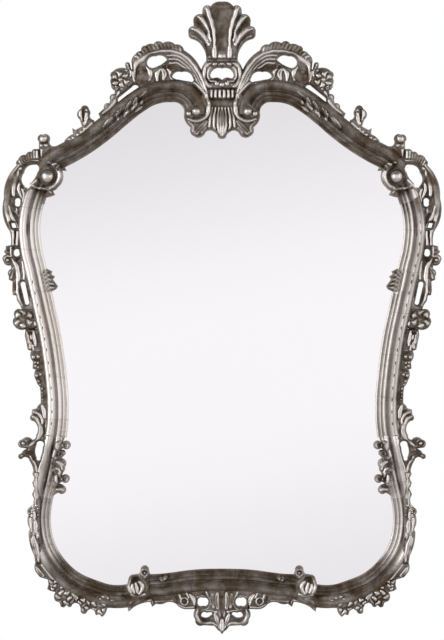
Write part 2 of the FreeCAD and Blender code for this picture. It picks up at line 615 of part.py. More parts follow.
def dowel_spots():
    """Each joint between a moulding and a junction piece: its place and its direction."""
    spots = []
    runs = (RAIL_CURL_PX + TOP_RAIL_PX, STILE_PX, LOWER_CORNER_PX, BOTTOM_RAIL_PX)
    for run in runs:
        points = [place(x, z, FRAME_BACK) for x, z in run]
        directions = tangents(points)
        ends = (0, -1)
        if run is BOTTOM_RAIL_PX:
            ends = (0,)
        for end in ends:
            spots.append((points[end], directions[end]))
    return spots


def joint_dowels(play):
    """The dowels of the left half, or the holes for them."""
    dowels = []
    for spot, direction in dowel_spots():
        for share in DOWEL_PLACE_SHARES:
            middle = spot + outward(direction) * (share * MOULDING_WIDTH)
            middle = middle + FreeCAD.Vector(0, -DOWEL_HEIGHT, 0)
            start = middle - direction * (DOWEL_REACH + play)
            length = 2 * (DOWEL_REACH + play)
            dowels.append(Part.makeCylinder(DOWEL_RADIUS + play, length, start, direction))
    return dowels


def crest_dowels(play):
    """The dowels between block, cartouche and shell on the left, or the holes for them."""
    dowels = []
    reach = CREST_DOWEL_REACH + play
    for joint_px in (CREST_CARTOUCHE_EDGE_PX[0][1], CREST_BLOCK_EDGE_PX[0][1]):
        start = place(CREST_DOWEL_PX, joint_px, FRAME_BACK + DOWEL_HEIGHT)
        start = start - FreeCAD.Vector(0, 0, reach)
        dowels.append(Part.makeCylinder(DOWEL_RADIUS + play, 2 * reach, start))
    return dowels


def screw(head, direction, radius, head_radius, head_depth, length):
    """A countersunk screw whose head lies flush at the given point."""
    shank = Part.makeCylinder(radius, length, head, direction)
    cone = Part.makeCone(head_radius, radius, head_depth, head, direction)
    return shank.fuse(cone)


def board_screws(play):
    """The screws of the left half that hold the board, or the holes for them."""
    points, directions = sight_line()
    runs = (CREST_SPAN_PX, TOP_RAIL_PX, SHOULDER_SPAN_PX, STILE_PX, WAIST_SPAN_PX, LOWER_CORNER_PX)
    screws = []
    start = 0
    for run in runs + (FOOT_SPAN_PX, BOTTOM_RAIL_PX):
        if run in (TOP_RAIL_PX, STILE_PX, LOWER_CORNER_PX, BOTTOM_RAIL_PX):
            for i in range(start + 2, start + len(run) - 1, BOARD_SCREW_EVERY):
                head = points[i] + outward(directions[i]) * SCREW_INSET
                screws.append(screw(head, FreeCAD.Vector(0, -1, 0), SCREW_RADIUS + play,
                                    SCREW_HEAD_RADIUS + play, SCREW_HEAD_DEPTH, SCREW_LENGTH + play))
        start = start + len(run)
    return screws


def hanger_axis():
    """The middle of the left ring's straight bar."""
    stile_x = min(x for x, z in STILE_PX)
    spot = place(stile_x, HANGER_HEIGHT_PX, FRAME_BACK) - FreeCAD.Vector(HANGER_INSET, 0, 0)
    return spot + FreeCAD.Vector(0, STRAP_THICKNESS + RING_REST_GAP + WIRE_RADIUS, 0)


def hanger_strap():
    """The plate on the back of the left stile, with the barrel that carries the ring."""
    axis = hanger_axis()
    corner = FreeCAD.Vector(axis.x - STRAP_WIDTH / 2, -FRAME_BACK, axis.z - STRAP_LENGTH)
    plate = Part.makeBox(STRAP_WIDTH, STRAP_THICKNESS, STRAP_LENGTH, corner)
    bore = WIRE_RADIUS + WIRE_PLAY
    left = axis - FreeCAD.Vector(BARREL_LENGTH / 2, 0, 0)
    along = FreeCAD.Vector(1, 0, 0)
    barrel = Part.makeCylinder(bore + BARREL_WALL, BARREL_LENGTH, left, along)
    rest = axis.y + FRAME_BACK
    corner = FreeCAD.Vector(left.x, -FRAME_BACK, axis.z - bore)
    neck = Part.makeBox(BARREL_LENGTH, rest, bore, corner)
    eye = Part.makeCylinder(bore, BARREL_LENGTH, left, along)
    return plate.fuse([barrel, neck]).cut(eye).removeSplitter()


def hanger_screws(play):
    """The screws of the left hanger, or the holes for them."""
    axis = hanger_axis()
    screws = []
    for drop in HANGER_SCREW_DROPS:
        head = FreeCAD.Vector(axis.x, STRAP_THICKNESS - FRAME_BACK, axis.z - drop)
        screws.append(screw(head, FreeCAD.Vector(0, -1, 0), HANGER_SCREW_RADIUS + play,
                            HANGER_SCREW_HEAD_RADIUS + play, STRAP_THICKNESS,
                            HANGER_SCREW_LENGTH + play))
    return screws


def hanger_ring():
    """The left D ring, hanging down from its bar, flat between the plate and the wall."""
    axis = hanger_axis()

    def spot(x, z):
        return axis + FreeCAD.Vector(x, 0, z)

    wide, corner, leg = RING_HALF_WIDTH, RING_CORNER_RADIUS, RING_CORNER_RADIUS + RING_LEG
    bar = wide - corner
    diagonal = corner * (1 - math.sqrt(0.5))
    edges = [
        Part.LineSegment(spot(0, 0), spot(bar, 0)).toShape(),
        Part.Arc(spot(bar, 0), spot(wide - diagonal, -diagonal), spot(wide, -corner)).toShape(),
        Part.LineSegment(spot(wide, -corner), spot(wide, -leg)).toShape(),
        Part.Arc(spot(wide, -leg), spot(0, -leg - wide), spot(-wide, -leg)).toShape(),
        Part.LineSegment(spot(-wide, -leg), spot(-wide, -corner)).toShape(),
        Part.Arc(spot(-wide, -corner), spot(diagonal - wide, -diagonal), spot(-bar, 0)).toShape(),
        Part.LineSegment(spot(-bar, 0), spot(0, 0)).toShape(),
    ]
    sweep = Part.BRepOffsetAPI.MakePipeShell(Part.Wire(edges))
    round_wire = Part.makeCircle(WIRE_RADIUS, axis, FreeCAD.Vector(1, 0, 0))
    sweep.add(Part.Wire([round_wire]))
    sweep.build()
    sweep.makeSolid()
    return sweep.shape()


def mouldings():
    """The seven lengths of moulding, before holes and rebate, by name, on the left and centre."""
    trim = slab(LOWER_TRIM_PX, FRAME_BACK - OVERRUN, FRAME_BACK + MOULDING_HEIGHT * 2)
    half_bottom = moulding(BOTTOM_RAIL_PX)
    return {
        "top_rail": moulding(RAIL_CURL_PX + TOP_RAIL_PX),
        "side_stile": moulding(STILE_PX),
        "lower_corner": largest(moulding(LOWER_CORNER_PX).cut(trim)),
        "bottom_rail": whole(half_bottom).Solids[0],
    }


def carvings(runs):
    """Every carved piece of the left half and the centre, each fitted to what it lies against."""
    placed = {}
    slot = CREST_SLOT_PX

    def add(name, shape, *touching):
        neighbours = list(runs.values()) + [placed[other] for other in touching]
        placed[name] = fitted(shape, neighbours)

    add("crest_scroll", pierced(carving(
        CREST_SCROLL_EDGE_PX, CREST_SCROLL_RELIEF, CREST_SCROLL_RIBS_PX, CREST_SCROLL_BEADS_PX,
        CREST_SCROLL_HOLES_PX), slot))
    add("crest_flower", pierced(carving(
        CREST_FLOWER_EDGE_PX, CREST_FLOWER_RELIEF, CREST_FLOWER_RIBS_PX, CREST_FLOWER_BEADS_PX),
        slot), "crest_scroll")
    add("rail_leaf_spray", carving(RAIL_SPRAY_EDGE_PX, RAIL_SPRAY_RELIEF, RAIL_SPRAY_RIBS_PX),
        "crest_scroll", "crest_flower")
    add("rail_bud", carving(RAIL_BUD_EDGE_PX, RAIL_BUD_RELIEF, (), RAIL_BUD_BEADS_PX))
    add("shoulder_volute", carving(
        SHOULDER_VOLUTE_EDGE_PX, SHOULDER_VOLUTE_RELIEF, SHOULDER_VOLUTE_RIBS_PX,
        SHOULDER_VOLUTE_BEADS_PX, (SHOULDER_HOLE_PX,), 0), "rail_bud")
    add("shoulder_scroll", carving(
        SHOULDER_SCROLL_EDGE_PX, SHOULDER_SCROLL_RELIEF, SHOULDER_SCROLL_RIBS_PX, (),
        SHOULDER_SCROLL_HOLES_PX + (SHOULDER_HOLE_PX,)), "shoulder_volute")
    add("side_leaf", carving(
        SIDE_LEAF_EDGE_PX, SIDE_LEAF_RELIEF, SIDE_LEAF_RIBS_PX, (), SIDE_LEAF_HOLES_PX),
        "shoulder_scroll")
    add("side_shell", carving(SIDE_SHELL_EDGE_PX, SIDE_SHELL_RELIEF, SIDE_SHELL_RIBS_PX))
    add("side_rose", carving(SIDE_ROSE_EDGE_PX, SIDE_ROSE_RELIEF, (), SIDE_ROSE_BEADS_PX),
        "side_leaf")
    add("husk_drop", carving(
        HUSK_DROP_EDGE_PX, HUSK_DROP_RELIEF, HUSK_DROP_RIBS_PX, HUSK_DROP_BEADS_PX), "side_rose")
    add("waist_volute", carving(
        WAIST_VOLUTE_EDGE_PX, WAIST_VOLUTE_RELIEF, WAIST_VOLUTE_RIBS_PX, WAIST_VOLUTE_BEADS_PX,
        (), 0))
    add("waist_scroll", carving(
        WAIST_SCROLL_EDGE_PX, WAIST_SCROLL_RELIEF, WAIST_SCROLL_RIBS_PX, WAIST_SCROLL_BEADS_PX,
        (WAIST_SCROLL_HOLE_PX,)), "waist_volute", "husk_drop")
    add("lower_leaf", carving(
        LOWER_LEAF_EDGE_PX, LOWER_LEAF_RELIEF, LOWER_LEAF_RIBS_PX, LOWER_LEAF_BEADS_PX),
        "waist_scroll", "waist_volute")
    add("foot_volute", carving(
        FOOT_VOLUTE_EDGE_PX, FOOT_VOLUTE_RELIEF, FOOT_VOLUTE_RIBS_PX, FOOT_VOLUTE_BEADS_PX, (), 0))
    add("corner_flower", carving(
        CORNER_FLOWER_EDGE_PX, CORNER_FLOWER_RELIEF, (), CORNER_FLOWER_BEADS_PX),
        "lower_leaf", "foot_volute")
    add("foot_sprig", carving(FOOT_SPRIG_EDGE_PX, FOOT_SPRIG_RELIEF, (), FOOT_SPRIG_BEADS_PX))
    add("apron", whole(carving(
        APRON_EDGE_PX, APRON_RELIEF, APRON_RIBS_PX, (), APRON_HOLES_PX)))
    add("apron_wing", carving(
        APRON_WING_EDGE_PX, APRON_WING_RELIEF, APRON_WING_RIBS_PX, APRON_WING_BEADS_PX),
        "apron", "foot_volute")
    sides = [mirrored(runs["top_rail"]), mirrored(placed["crest_scroll"])]
    block = whole(carving(
        CREST_BLOCK_EDGE_PX, CREST_BLOCK_RELIEF, CREST_BLOCK_RIBS_PX, CREST_BLOCK_BEADS_PX, (), 0))
    placed["crest_block"] = fitted(block, [runs["top_rail"], placed["crest_scroll"]] + sides)
    cartouche = whole(carving(
        CREST_CARTOUCHE_EDGE_PX, CREST_CARTOUCHE_RELIEF, CREST_CARTOUCHE_RIBS_PX,
        CREST_CARTOUCHE_BEADS_PX, (CREST_CARTOUCHE_HOLE_PX,)))
    scrolls = [placed["crest_scroll"], mirrored(placed["crest_scroll"])]
    placed["crest_cartouche"] = fitted(cartouche, scrolls + [placed["crest_block"]])
    shell = whole(carving(CREST_SHELL_EDGE_PX, CREST_SHELL_RELIEF, CREST_SHELL_RIBS_PX))
    placed["crest_shell"] = fitted(shell, [placed["crest_cartouche"]])
    return placed


CENTRE_PIECES = ("bottom_rail", "apron", "crest_block", "crest_cartouche", "crest_shell")


def main():
    os.makedirs("parts", exist_ok=True)
    pieces = {}

    def keep(name, shape):
        pieces[name] = shape

    def keep_pair(name, shape):
        pieces[name + "_left"] = shape
        pieces[name + "_right"] = mirrored(shape)

    runs = mouldings()
    pocket = sheet(GLASS_COVER + GLASS_PLAY, FRAME_BACK - OVERRUN, FRAME_BACK + REBATE_DEPTH)
    holes = joint_dowels(DOWEL_PLAY) + crest_dowels(DOWEL_PLAY) + board_screws(SCREW_PLAY)
    holes = holes + hanger_screws(SCREW_PLAY)
    holes = holes + [mirrored(hole) for hole in holes]
    wood = dict(runs)
    wood.update(carvings(runs))
    for name, shape in wood.items():
        shape = fitted(shape, [pocket] + holes)
        if name in CENTRE_PIECES:
            keep(name, shape)
        else:
            keep_pair(name, shape)

    glass_back = FRAME_BACK + PACKING_THICKNESS
    keep("mirror_glass", sheet(GLASS_COVER, glass_back, glass_back + GLASS_THICKNESS))
    keep("glass_packing", sheet(GLASS_COVER, FRAME_BACK, glass_back))
    board = sheet(BOARD_COVER, 0, BOARD_THICKNESS)
    keep("back_panel", fitted(board, holes))

    def group(shapes):
        return Part.makeCompound(shapes + [mirrored(shape) for shape in shapes])

    keep("panel_screws", group(board_screws(0)))
    keep("joint_dowels", group(joint_dowels(0)))
    keep("crest_dowels", group(crest_dowels(0)))
    keep("hanger_screws", group(hanger_screws(0)))
    keep_pair("hanger_strap", hanger_strap().cut(hanger_screws(SCREW_PLAY)))
    keep_pair("hanger_ring", hanger_ring())

    for name, shape in pieces.items():
        shape.exportStep("parts/" + name + ".step")
    print(len(pieces), "pieces")


main()
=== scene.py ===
"""Silver leaf mirror: the carved frame, its glass and its back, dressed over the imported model.

Places that end in PX are across and down the picture, in its pixels. Depths and lifts are
millimetres in front of the wall, and the front of the mirror faces -Y.
"""

import math

import bmesh
import bpy
import numpy as np
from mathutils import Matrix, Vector, geometry


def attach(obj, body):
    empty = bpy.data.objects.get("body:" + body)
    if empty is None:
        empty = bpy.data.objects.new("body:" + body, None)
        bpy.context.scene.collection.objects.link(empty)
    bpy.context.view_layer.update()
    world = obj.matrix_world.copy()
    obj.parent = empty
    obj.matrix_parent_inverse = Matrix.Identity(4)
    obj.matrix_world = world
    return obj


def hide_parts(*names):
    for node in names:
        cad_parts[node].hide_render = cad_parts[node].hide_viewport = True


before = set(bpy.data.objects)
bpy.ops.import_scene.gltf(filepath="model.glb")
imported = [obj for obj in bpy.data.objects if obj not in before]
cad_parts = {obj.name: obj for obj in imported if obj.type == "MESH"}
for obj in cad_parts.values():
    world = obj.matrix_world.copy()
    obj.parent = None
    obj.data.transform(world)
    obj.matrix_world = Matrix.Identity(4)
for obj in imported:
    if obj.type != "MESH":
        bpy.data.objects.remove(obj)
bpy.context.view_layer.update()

bl_info = {
    "name": "Silver Leaf Mirror",
    "version": (1, 0, 0),
    "blender": (4, 5, 0),
    "location": "View3D > Sidebar > Mirror",
    "description": "Carves and gilds a rococo wall mirror round its packed frame",
    "category": "Object",
}

BODY = "frame"

# The picture's scale: the mirror's height in metres, between its top and its foot in the picture
MM = 0.001
OVERALL_HEIGHT = 1.236
TOP_PX = 0.8
FOOT_PX = 634.4
CENTRE_PX = 222.0
MIDDLE_PX = 345.0
PX = OVERALL_HEIGHT / (FOOT_PX - TOP_PX)
MM_PER_PX = PX / MM
PICTURE_HIGH = 640

# Depths: the backs of the moulding and of the carvings, the rebate that holds the glass, the play
# behind it, and the highest that a carving may stand
FRAME_BACK = 6.0
CARVING_BACK = 8.0
REBATE_DEPTH = 5.0
REBATE_WIDTH = 9.5
GLASS_PLAY = 0.05
HIGHEST = 51.8
# Each carving's back lies this much in front of the last one's, so no two share a plane in a lap
BACK_STEP = 0.05

# How finely lines and faces are divided. The margin is the share of a grid step that the grid
# keeps off an edge, and faces that meet at more than the creases stay sharp
GRID_PX = 0.62
GRID_MARGIN = 0.55
PATH_STEP_PX = 0.8
LINE_STEP_PX = 0.6
RAIL_STEP_PX = 1.2
STILE_STEP_PX = 0.6
UNDER_STEP_PX = 2
GLASS_STEP_PX = 4
FACE_STEP_SHARE = 0.024
SAME_PX = 0.01
CARVED_CREASE = math.radians(52)
MOULDED_CREASE = math.radians(32)

# The sight line of each length of moulding, from the crest down on the left
TOP_RAIL_PX = (
    (184, 112.5), (183.2, 107.5), (179.5, 103.2), (168, 101.5), (155, 104), (143, 111),
    (130, 121), (110, 138), (90, 152.5), (72, 163), (63, 167.5),
)
STILE_PX = (
    (45, 199), (41.3, 212), (39.6, 226), (41, 246), (46, 268), (53, 300), (60.5, 335),
    (65.5, 370), (68.2, 405), (67.7, 424), (66, 438),
)
LOWER_CORNER_PX = (
    (54.5, 492), (51.6, 504), (50.2, 522), (54, 543), (64, 560), (78, 573), (95, 580.8),
    (113, 585.8), (127, 585),
)
BOTTOM_RAIL_PX = ((150, 575), (160, 574.6), (170, 573.5), (190, 570.8), (222, 569.5))

# The moulding's face as shares of its width and height, from the sight edge outwards
SECTION_SHARES = (
    (0.0, 0.26), (0.014, 0.36), (0.05, 0.40), (0.088, 0.37), (0.105, 0.325), (0.135, 0.345),
    (0.19, 0.425), (0.235, 0.455), (0.255, 0.43), (0.275, 0.50), (0.33, 0.645), (0.385, 0.69),
    (0.43, 0.665), (0.465, 0.60), (0.49, 0.565), (0.525, 0.605), (0.575, 0.76), (0.635, 0.895),
    (0.715, 0.98), (0.795, 0.995), (0.875, 0.94), (0.93, 0.835), (0.965, 0.755), (0.99, 0.67),
    (1.0, 0.56),
)
# Where toning gathers across the moulding: place, half width and amount. The last, on the outer
# edge, is partly toning and partly painted shade that dims the side lamp's highlight there
TONED_LINES_SHARES = (
    (0.105, 0.034, 0.36), (0.255, 0.042, 0.38), (0.49, 0.066, 0.50), (1.0, 0.1, 0.85),
)

# The row of punched pits down each stile
PITS_DOWN_PX = (282, 293, 305, 317, 328, 339, 350, 363, 375.5, 388, 400, 412, 424)
PIT_PLACE_SHARE = 0.71
PIT_LONG_PX = 1.8
PIT_WIDE_PX = 0.72
PIT_DEPTH = 1.5

# The sight line where a junction piece covers it, and what trims the lower corner's outer edge
CREST_SPAN_PX = ((222, 116), (206, 113.5), (192, 108.5))
SHOULDER_SPAN_PX = ((52, 182),)
WAIST_SPAN_PX = ((61, 462),)
FOOT_SPAN_PX = ((139, 579),)
LOWER_TRIM_PX = (
    (12, 470), (36, 489), (34.6, 500), (31, 508), (29.4, 518), (30.6, 532), (0, 533), (0, 640),
)

# How the carver works: the edge stands at a share of the relief and the ground rounds up from it.
# Every raised stroke has a small ditch beside it. Strokes and dips are broader than their rows
# say, by the two reaches. A leaf's vein and a flower's petals are shares of the stroke's half width
# and of the flower's radius, and the wobbles put everything a little out of true
RIM_SHARE = 0.35
EDGE_ROUND_PX = 1.4
DITCH_SHARE = 0.2
DITCH_PX = 0.8
DITCHES_AWAY = 3
STROKE_REACH = 1.45
DIP_REACH = 1.5
RIB_ROUND = 0.85
BALL_ROUND = 0.6
VEIN_DEPTH = 0.4
VEIN_HALF = 0.26
WOBBLE_PX = 0.14
WOBBLE_TURN = 0.62
WOBBLE_DRIFT = 0.17
SIGHT_BLEND = 0.05
OUTER_BLEND = 0.06
CLEARING_BLEND_PX = 2.0
MOULDING_LIFT = 0.35
FLOWER_LIFT = 4
FLOWER_WOBBLE_PX = 0.75
FLOWER_WOBBLE_TURNS = (0.9, 0.8)
EYE_SHARE = 0.3
PETAL_GAP = 1.6
PETAL_NOTCH = 0.7
PETAL_POINT = 0.5
PETAL_ROUND = 0.7
CUP_PLACE = 1.5
CUP_ROUND = 0.75

# How the toning lies on a carving: its ground is a little hollow, and it reaches full brown this
# many millimetres below its near and far surroundings. That brown is partly the real glaze and
# partly painted shade in the recesses, the ridges left bright are partly painted highlights, and
# the edge is browned as painted shade where the carving rounds down to the wall
CARVED_HOLLOW = 0.25
HOLLOW_DEPTH = 4.2
NEAR_ROUNDS = 10
FAR_ROUNDS = 34
NEAR_SHARE = 0.65
EDGE_PAINTED_SHADE = 0.6
EDGE_SHADE_PX = 1.7
SHADE_HOLLOW = 0.5
SHADE_TONE = 0.6
LEAST_TONE = 0.55
TONE_SPAN = 0.6
BACK_HOLLOW = 0.85
BACK_TONE = 0.8

# How it lies on the moulding: a length that runs across is darker than one that runs down. That
# is painted shade, for the dark studio that the level lengths mirror, while the stiles stay bright
LEVEL_SHADE_HOLLOW = 0.34
STILE_HOLLOW = 0.1
REBATE_HOLLOW = 0.8
RAIL_PAINTED_SHADE = 1.05
STILE_TONE = 0.15
CORNER_TONE = 0.4
LEVEL_FROM = 0.3
LEVEL_SPAN = 0.45
STILE_HEAD_TONE = 0.7
STILE_HEAD_FOOT_PX = 226
STILE_HEAD_FADE_PX = 34
# The outer slope beside the rose and the husks, toned dark as the painted shadow that they cast
OUTER_PAINTED_SHADOW = 0.9
OUTER_SHADOW_DOWN_PX = (318, 412)
OUTER_SHADOW_FADE_PX = 14
OUTER_SHADOW_FROM_SHARE = 0.86
OUTER_SHADOW_FADE_SHARE = 0.08
# On the right the row of pits lies in a toned channel, and its stains start higher up. The whole
# right stile is also toned darker, as painted shade for the weaker light on that side
RIGHT_STILE_PAINTED_SHADE = 0.35
RIGHT_PITS_DOWN_PX = (199, 210.5, 222, 233, 244, 255, 266, 275)
CHANNEL_HALF_SHARE = 0.075
CHANNEL_HOLLOW = 0.34
PIT_HOLLOW = 1.6
STAIN_HOLLOW = 0.6
STAIN_GROWTH = 1.35

# The studio: the flag as its middle and two half sides, the floor and the card as their half
# sides, and the lamps as name, place, aim, width, height and power
FACE_DEPTH = 0.03
SENSOR_WIDE = 36.0
WORLD_LIGHT = 0.45
FLOOR_BEHIND = 0.25
FLOOR_SIDES = ((3.2, 0, 0), (0, 2.25, 0))
CARD_BEHIND = -7.0
CARD_SIDES = ((-1.8, 0, 0), (0, 0, 1.8))
FLAG_ABOVE = ((0, -1.2, 2.2), (2.4, 0, 0), (0, 1.6, 0))
LAMPS = (
    ("softbox_left", (-3.2, -2.4, 0.5), (0, 0, 0), 1.2, 3.0, 49),
    ("softbox_right", (3.2, -2.4, 0.5), (0, 0, 0), 1.2, 3.0, 15),
)

# Carvings. In an edge or a hole, two numbers are the end of a straight stretch and four are an
# arc's middle and end. Ribs, leaves, dips and swells are strokes: a lift, then rows of a place, the
# half width there and, where it has one, a share of the lift. A fan is the strokes that run from
# one line to another: their kind, lift, count, near and far half widths and the two lines. A ball
# is its centre, radius and lift, a ring its centre, radius, half width and lift, and a flower its
# centre, radius, count of petals and turn. A shade is a centre, a radius and how much browner, or
# brighter where it is below zero, the toning is there: mostly painted shade and painted highlights,
# with some of the toning's own unevenness. A carving's toning is laid heavy enough to carry painted
# shade as well as the glaze. In a clearing, a centre and a radius, the carving's own ground takes
# the place of the moulding's.
CARVINGS = {}
CARVINGS["crest_shell"] = dict(
    whole=True, relief=27, round_px=5, toning=0.6,
    edge=((222, 0.9), (215.5, 1.5, 210.5, 5.6), (206, 4.6, 202.3, 9.5), (201.9, 13.5),
        (196, 14.5, 193.2, 21), (193.6, 25.5), (189.5, 27, 188.3, 32), (188.8, 35.8, 192, 38.3),
        (198, 41, 202, 45.5), (205.3, 52, 205.4, 63), (222, 63)),
    ribs=(
        (5, (206.2, 7, 2), (208.4, 14.5, 2.7), (211.6, 23.4, 2.9), (213.6, 31, 2.2),
            (214.6, 40, 1.5), (214.6, 47, 1.2)),
        (4.5, (198.2, 15, 2), (202.4, 20, 2.8), (206.6, 26, 2.4), (209.2, 32.4, 1.7)),
        (4, (192.6, 27.6, 2), (197.8, 31, 2.6), (202.8, 36, 2.2), (206, 42.6, 1.5)),
        (3, (193.2, 36.8, 1.4), (199, 40.6, 1.6), (203.4, 46, 1.4), (206.2, 55, 1.2)),
        (4, (208.4, 33, 1.5), (208.8, 38.6, 2.2), (208.8, 45, 1.4)),
        (4.5, (215.2, 46.4, 1.5), (214.4, 51.6, 2.2), (214.6, 57.4, 1.8)),
    ),
    dips=(
        (6, (222, 8, 12), (222, 18, 9.6), (222, 32, 7.6), (222, 47, 6.4)),
        (3.5, (204, 10, 2.3), (206.2, 18, 2.2), (209.6, 27, 1.7), (212, 38, 1.1)),
        (3.5, (196.6, 20, 2.9), (202.4, 26.4, 2.5), (207, 34, 1.7), (209.4, 42, 1)),
        (3.5, (192, 32.4, 2.6), (198.6, 36.4, 2.3), (203.4, 41, 1.6), (206.6, 48, 1)),
        (3, (205.6, 59, 1.1), (222, 59.4, 1.2)),
    ),
    swells=((3, (222, 51, 4), (222, 57, 4)),),
    shades=((222, 12, 15, 0.55), (222, 30, 11, 0.6), (222, 42, 7, 0.4), (196, 21, 6, 0.3),
        (193, 34, 6, 0.3), (209, 52, 3, 0.5), (214.6, 52, 4, -0.5), (208.8, 38, 4, -0.5)),
)
CARVINGS["crest_cartouche"] = dict(
    whole=True, relief=28, round_px=3, toning=0.5,
    edge=((222, 61), (205.4, 61), (201.6, 68, 201, 76), (202.6, 83, 207.5, 89.6), (222, 89.6)),
    holes=(
        ((222, 67.8), (213, 69.4, 210.4, 74.4), (211.5, 77.2, 213.5, 77.6), (218, 77, 222, 79.3)),
    ),
    ribs=(
        (4.5, (211.4, 61.8, 1.5), (206, 66.6, 2.3), (203.8, 75, 2.7), (205, 82, 2.5),
            (209.8, 87, 1.8)),
        (4.5, (210.6, 67.6, 1.2), (208.2, 71.6, 1.7), (208.4, 77, 1.7), (211, 80.8, 1.4),
            (215.6, 81.6, 1.1)),
    ),
    dips=(
        (3, (207, 68, 0.7), (206.2, 76, 0.8), (208.6, 82.6, 0.8)),
        (3.5, (210, 80, 0.8), (216, 79.8, 1.1), (222, 81, 1)),
    ),
    balls=((214.8, 63.8, 2.9, 4), (219.4, 65.8, 1.7, 2.5), (222, 63.4, 2.2, 2.5),
        (216.8, 83.6, 2.7, 3.5), (222, 84.8, 2.8, 3.5), (212, 85, 1.8, 2)),
    shades=((208, 72, 4, -0.5), (211, 60, 4, 0.4), (214, 80, 4, 0.5), (204, 80, 5, 0.3)),
)
CARVINGS["crest_block"] = dict(
    whole=True, relief=27, round_px=3, toning=0.65, back=FRAME_BACK,
    edge=((222, 88), (205, 88), (196, 100), (184.3, 111), (184.2, 118, 187, 123.5), (190.5, 127),
        (190.6, 132.5, 194, 135.6), (199.5, 137, 204.5, 133.5), (207.5, 130.3, 211, 129.8),
        (214.5, 131.5, 217.5, 134.5), (219.5, 137.8, 222, 138.2)),
    ribs=(
        (4.5, (211.4, 89, 1.1), (211.6, 97.6, 1.1)),
        (5, (215.6, 88.6, 1.3), (215.6, 97.6, 1.4)),
        (5, (219.9, 88.6, 1.5), (219.9, 97.8, 1.5)),
        (4, (218.8, 108, 0.9), (218, 118, 1.4), (218.4, 128, 1.4), (219.6, 134, 1)),
        (4, (215.6, 108, 0.9), (214.2, 117, 1.4), (213.8, 124, 1.3), (215, 130.4, 0.9)),
        (3.5, (212.6, 107.6, 0.9), (210.8, 116, 1.3), (209.6, 123, 1.3), (209.6, 128.6, 0.9)),
        (5, (206.4, 94, 1.2), (208.6, 103, 1.6), (208.8, 110.4, 1.8), (206, 117, 1.6),
            (200, 120.6, 1.5), (193.6, 121, 1.3), (188.4, 119, 1)),
        (2.5, (205.6, 128, 1.2), (201.6, 132.6, 1.3)),
        (3, (189, 122.4, 1.5), (193, 126.8, 1.6), (193.6, 131.4, 1.3)),
    ),
    leaves=(
        (5, (222, 108, 1.2), (222, 118, 2.3), (222, 129, 2.3), (222, 137.4, 1)),
        (3.5, (206.4, 121.6, 1.4), (201.4, 127.2, 2.7), (196.4, 132.4, 2.5)),
    ),
    dips=(
        (3.5, (207, 98.8, 1.1), (222, 99.4, 1.3)),
        (5, (199.8, 103, 1.2), (203.6, 107.6, 1.6), (203.4, 113.6, 1.5), (199.4, 117.6, 1.2),
            (193, 117.8, 1)),
    ),
    swells=((2.5, (209, 103.4, 3), (222, 103.6, 4)),),
    balls=((196.4, 111.4, 4.6, 9), (189, 113.4, 2.7, 3)),
    shades=((216, 103, 9, 0.5), (221, 118, 9, 0.25), (197, 126, 9, 0.35), (202, 110, 3, 0.6),
        (209, 106, 3, -0.4), (222, 129, 4, -0.3)),
)
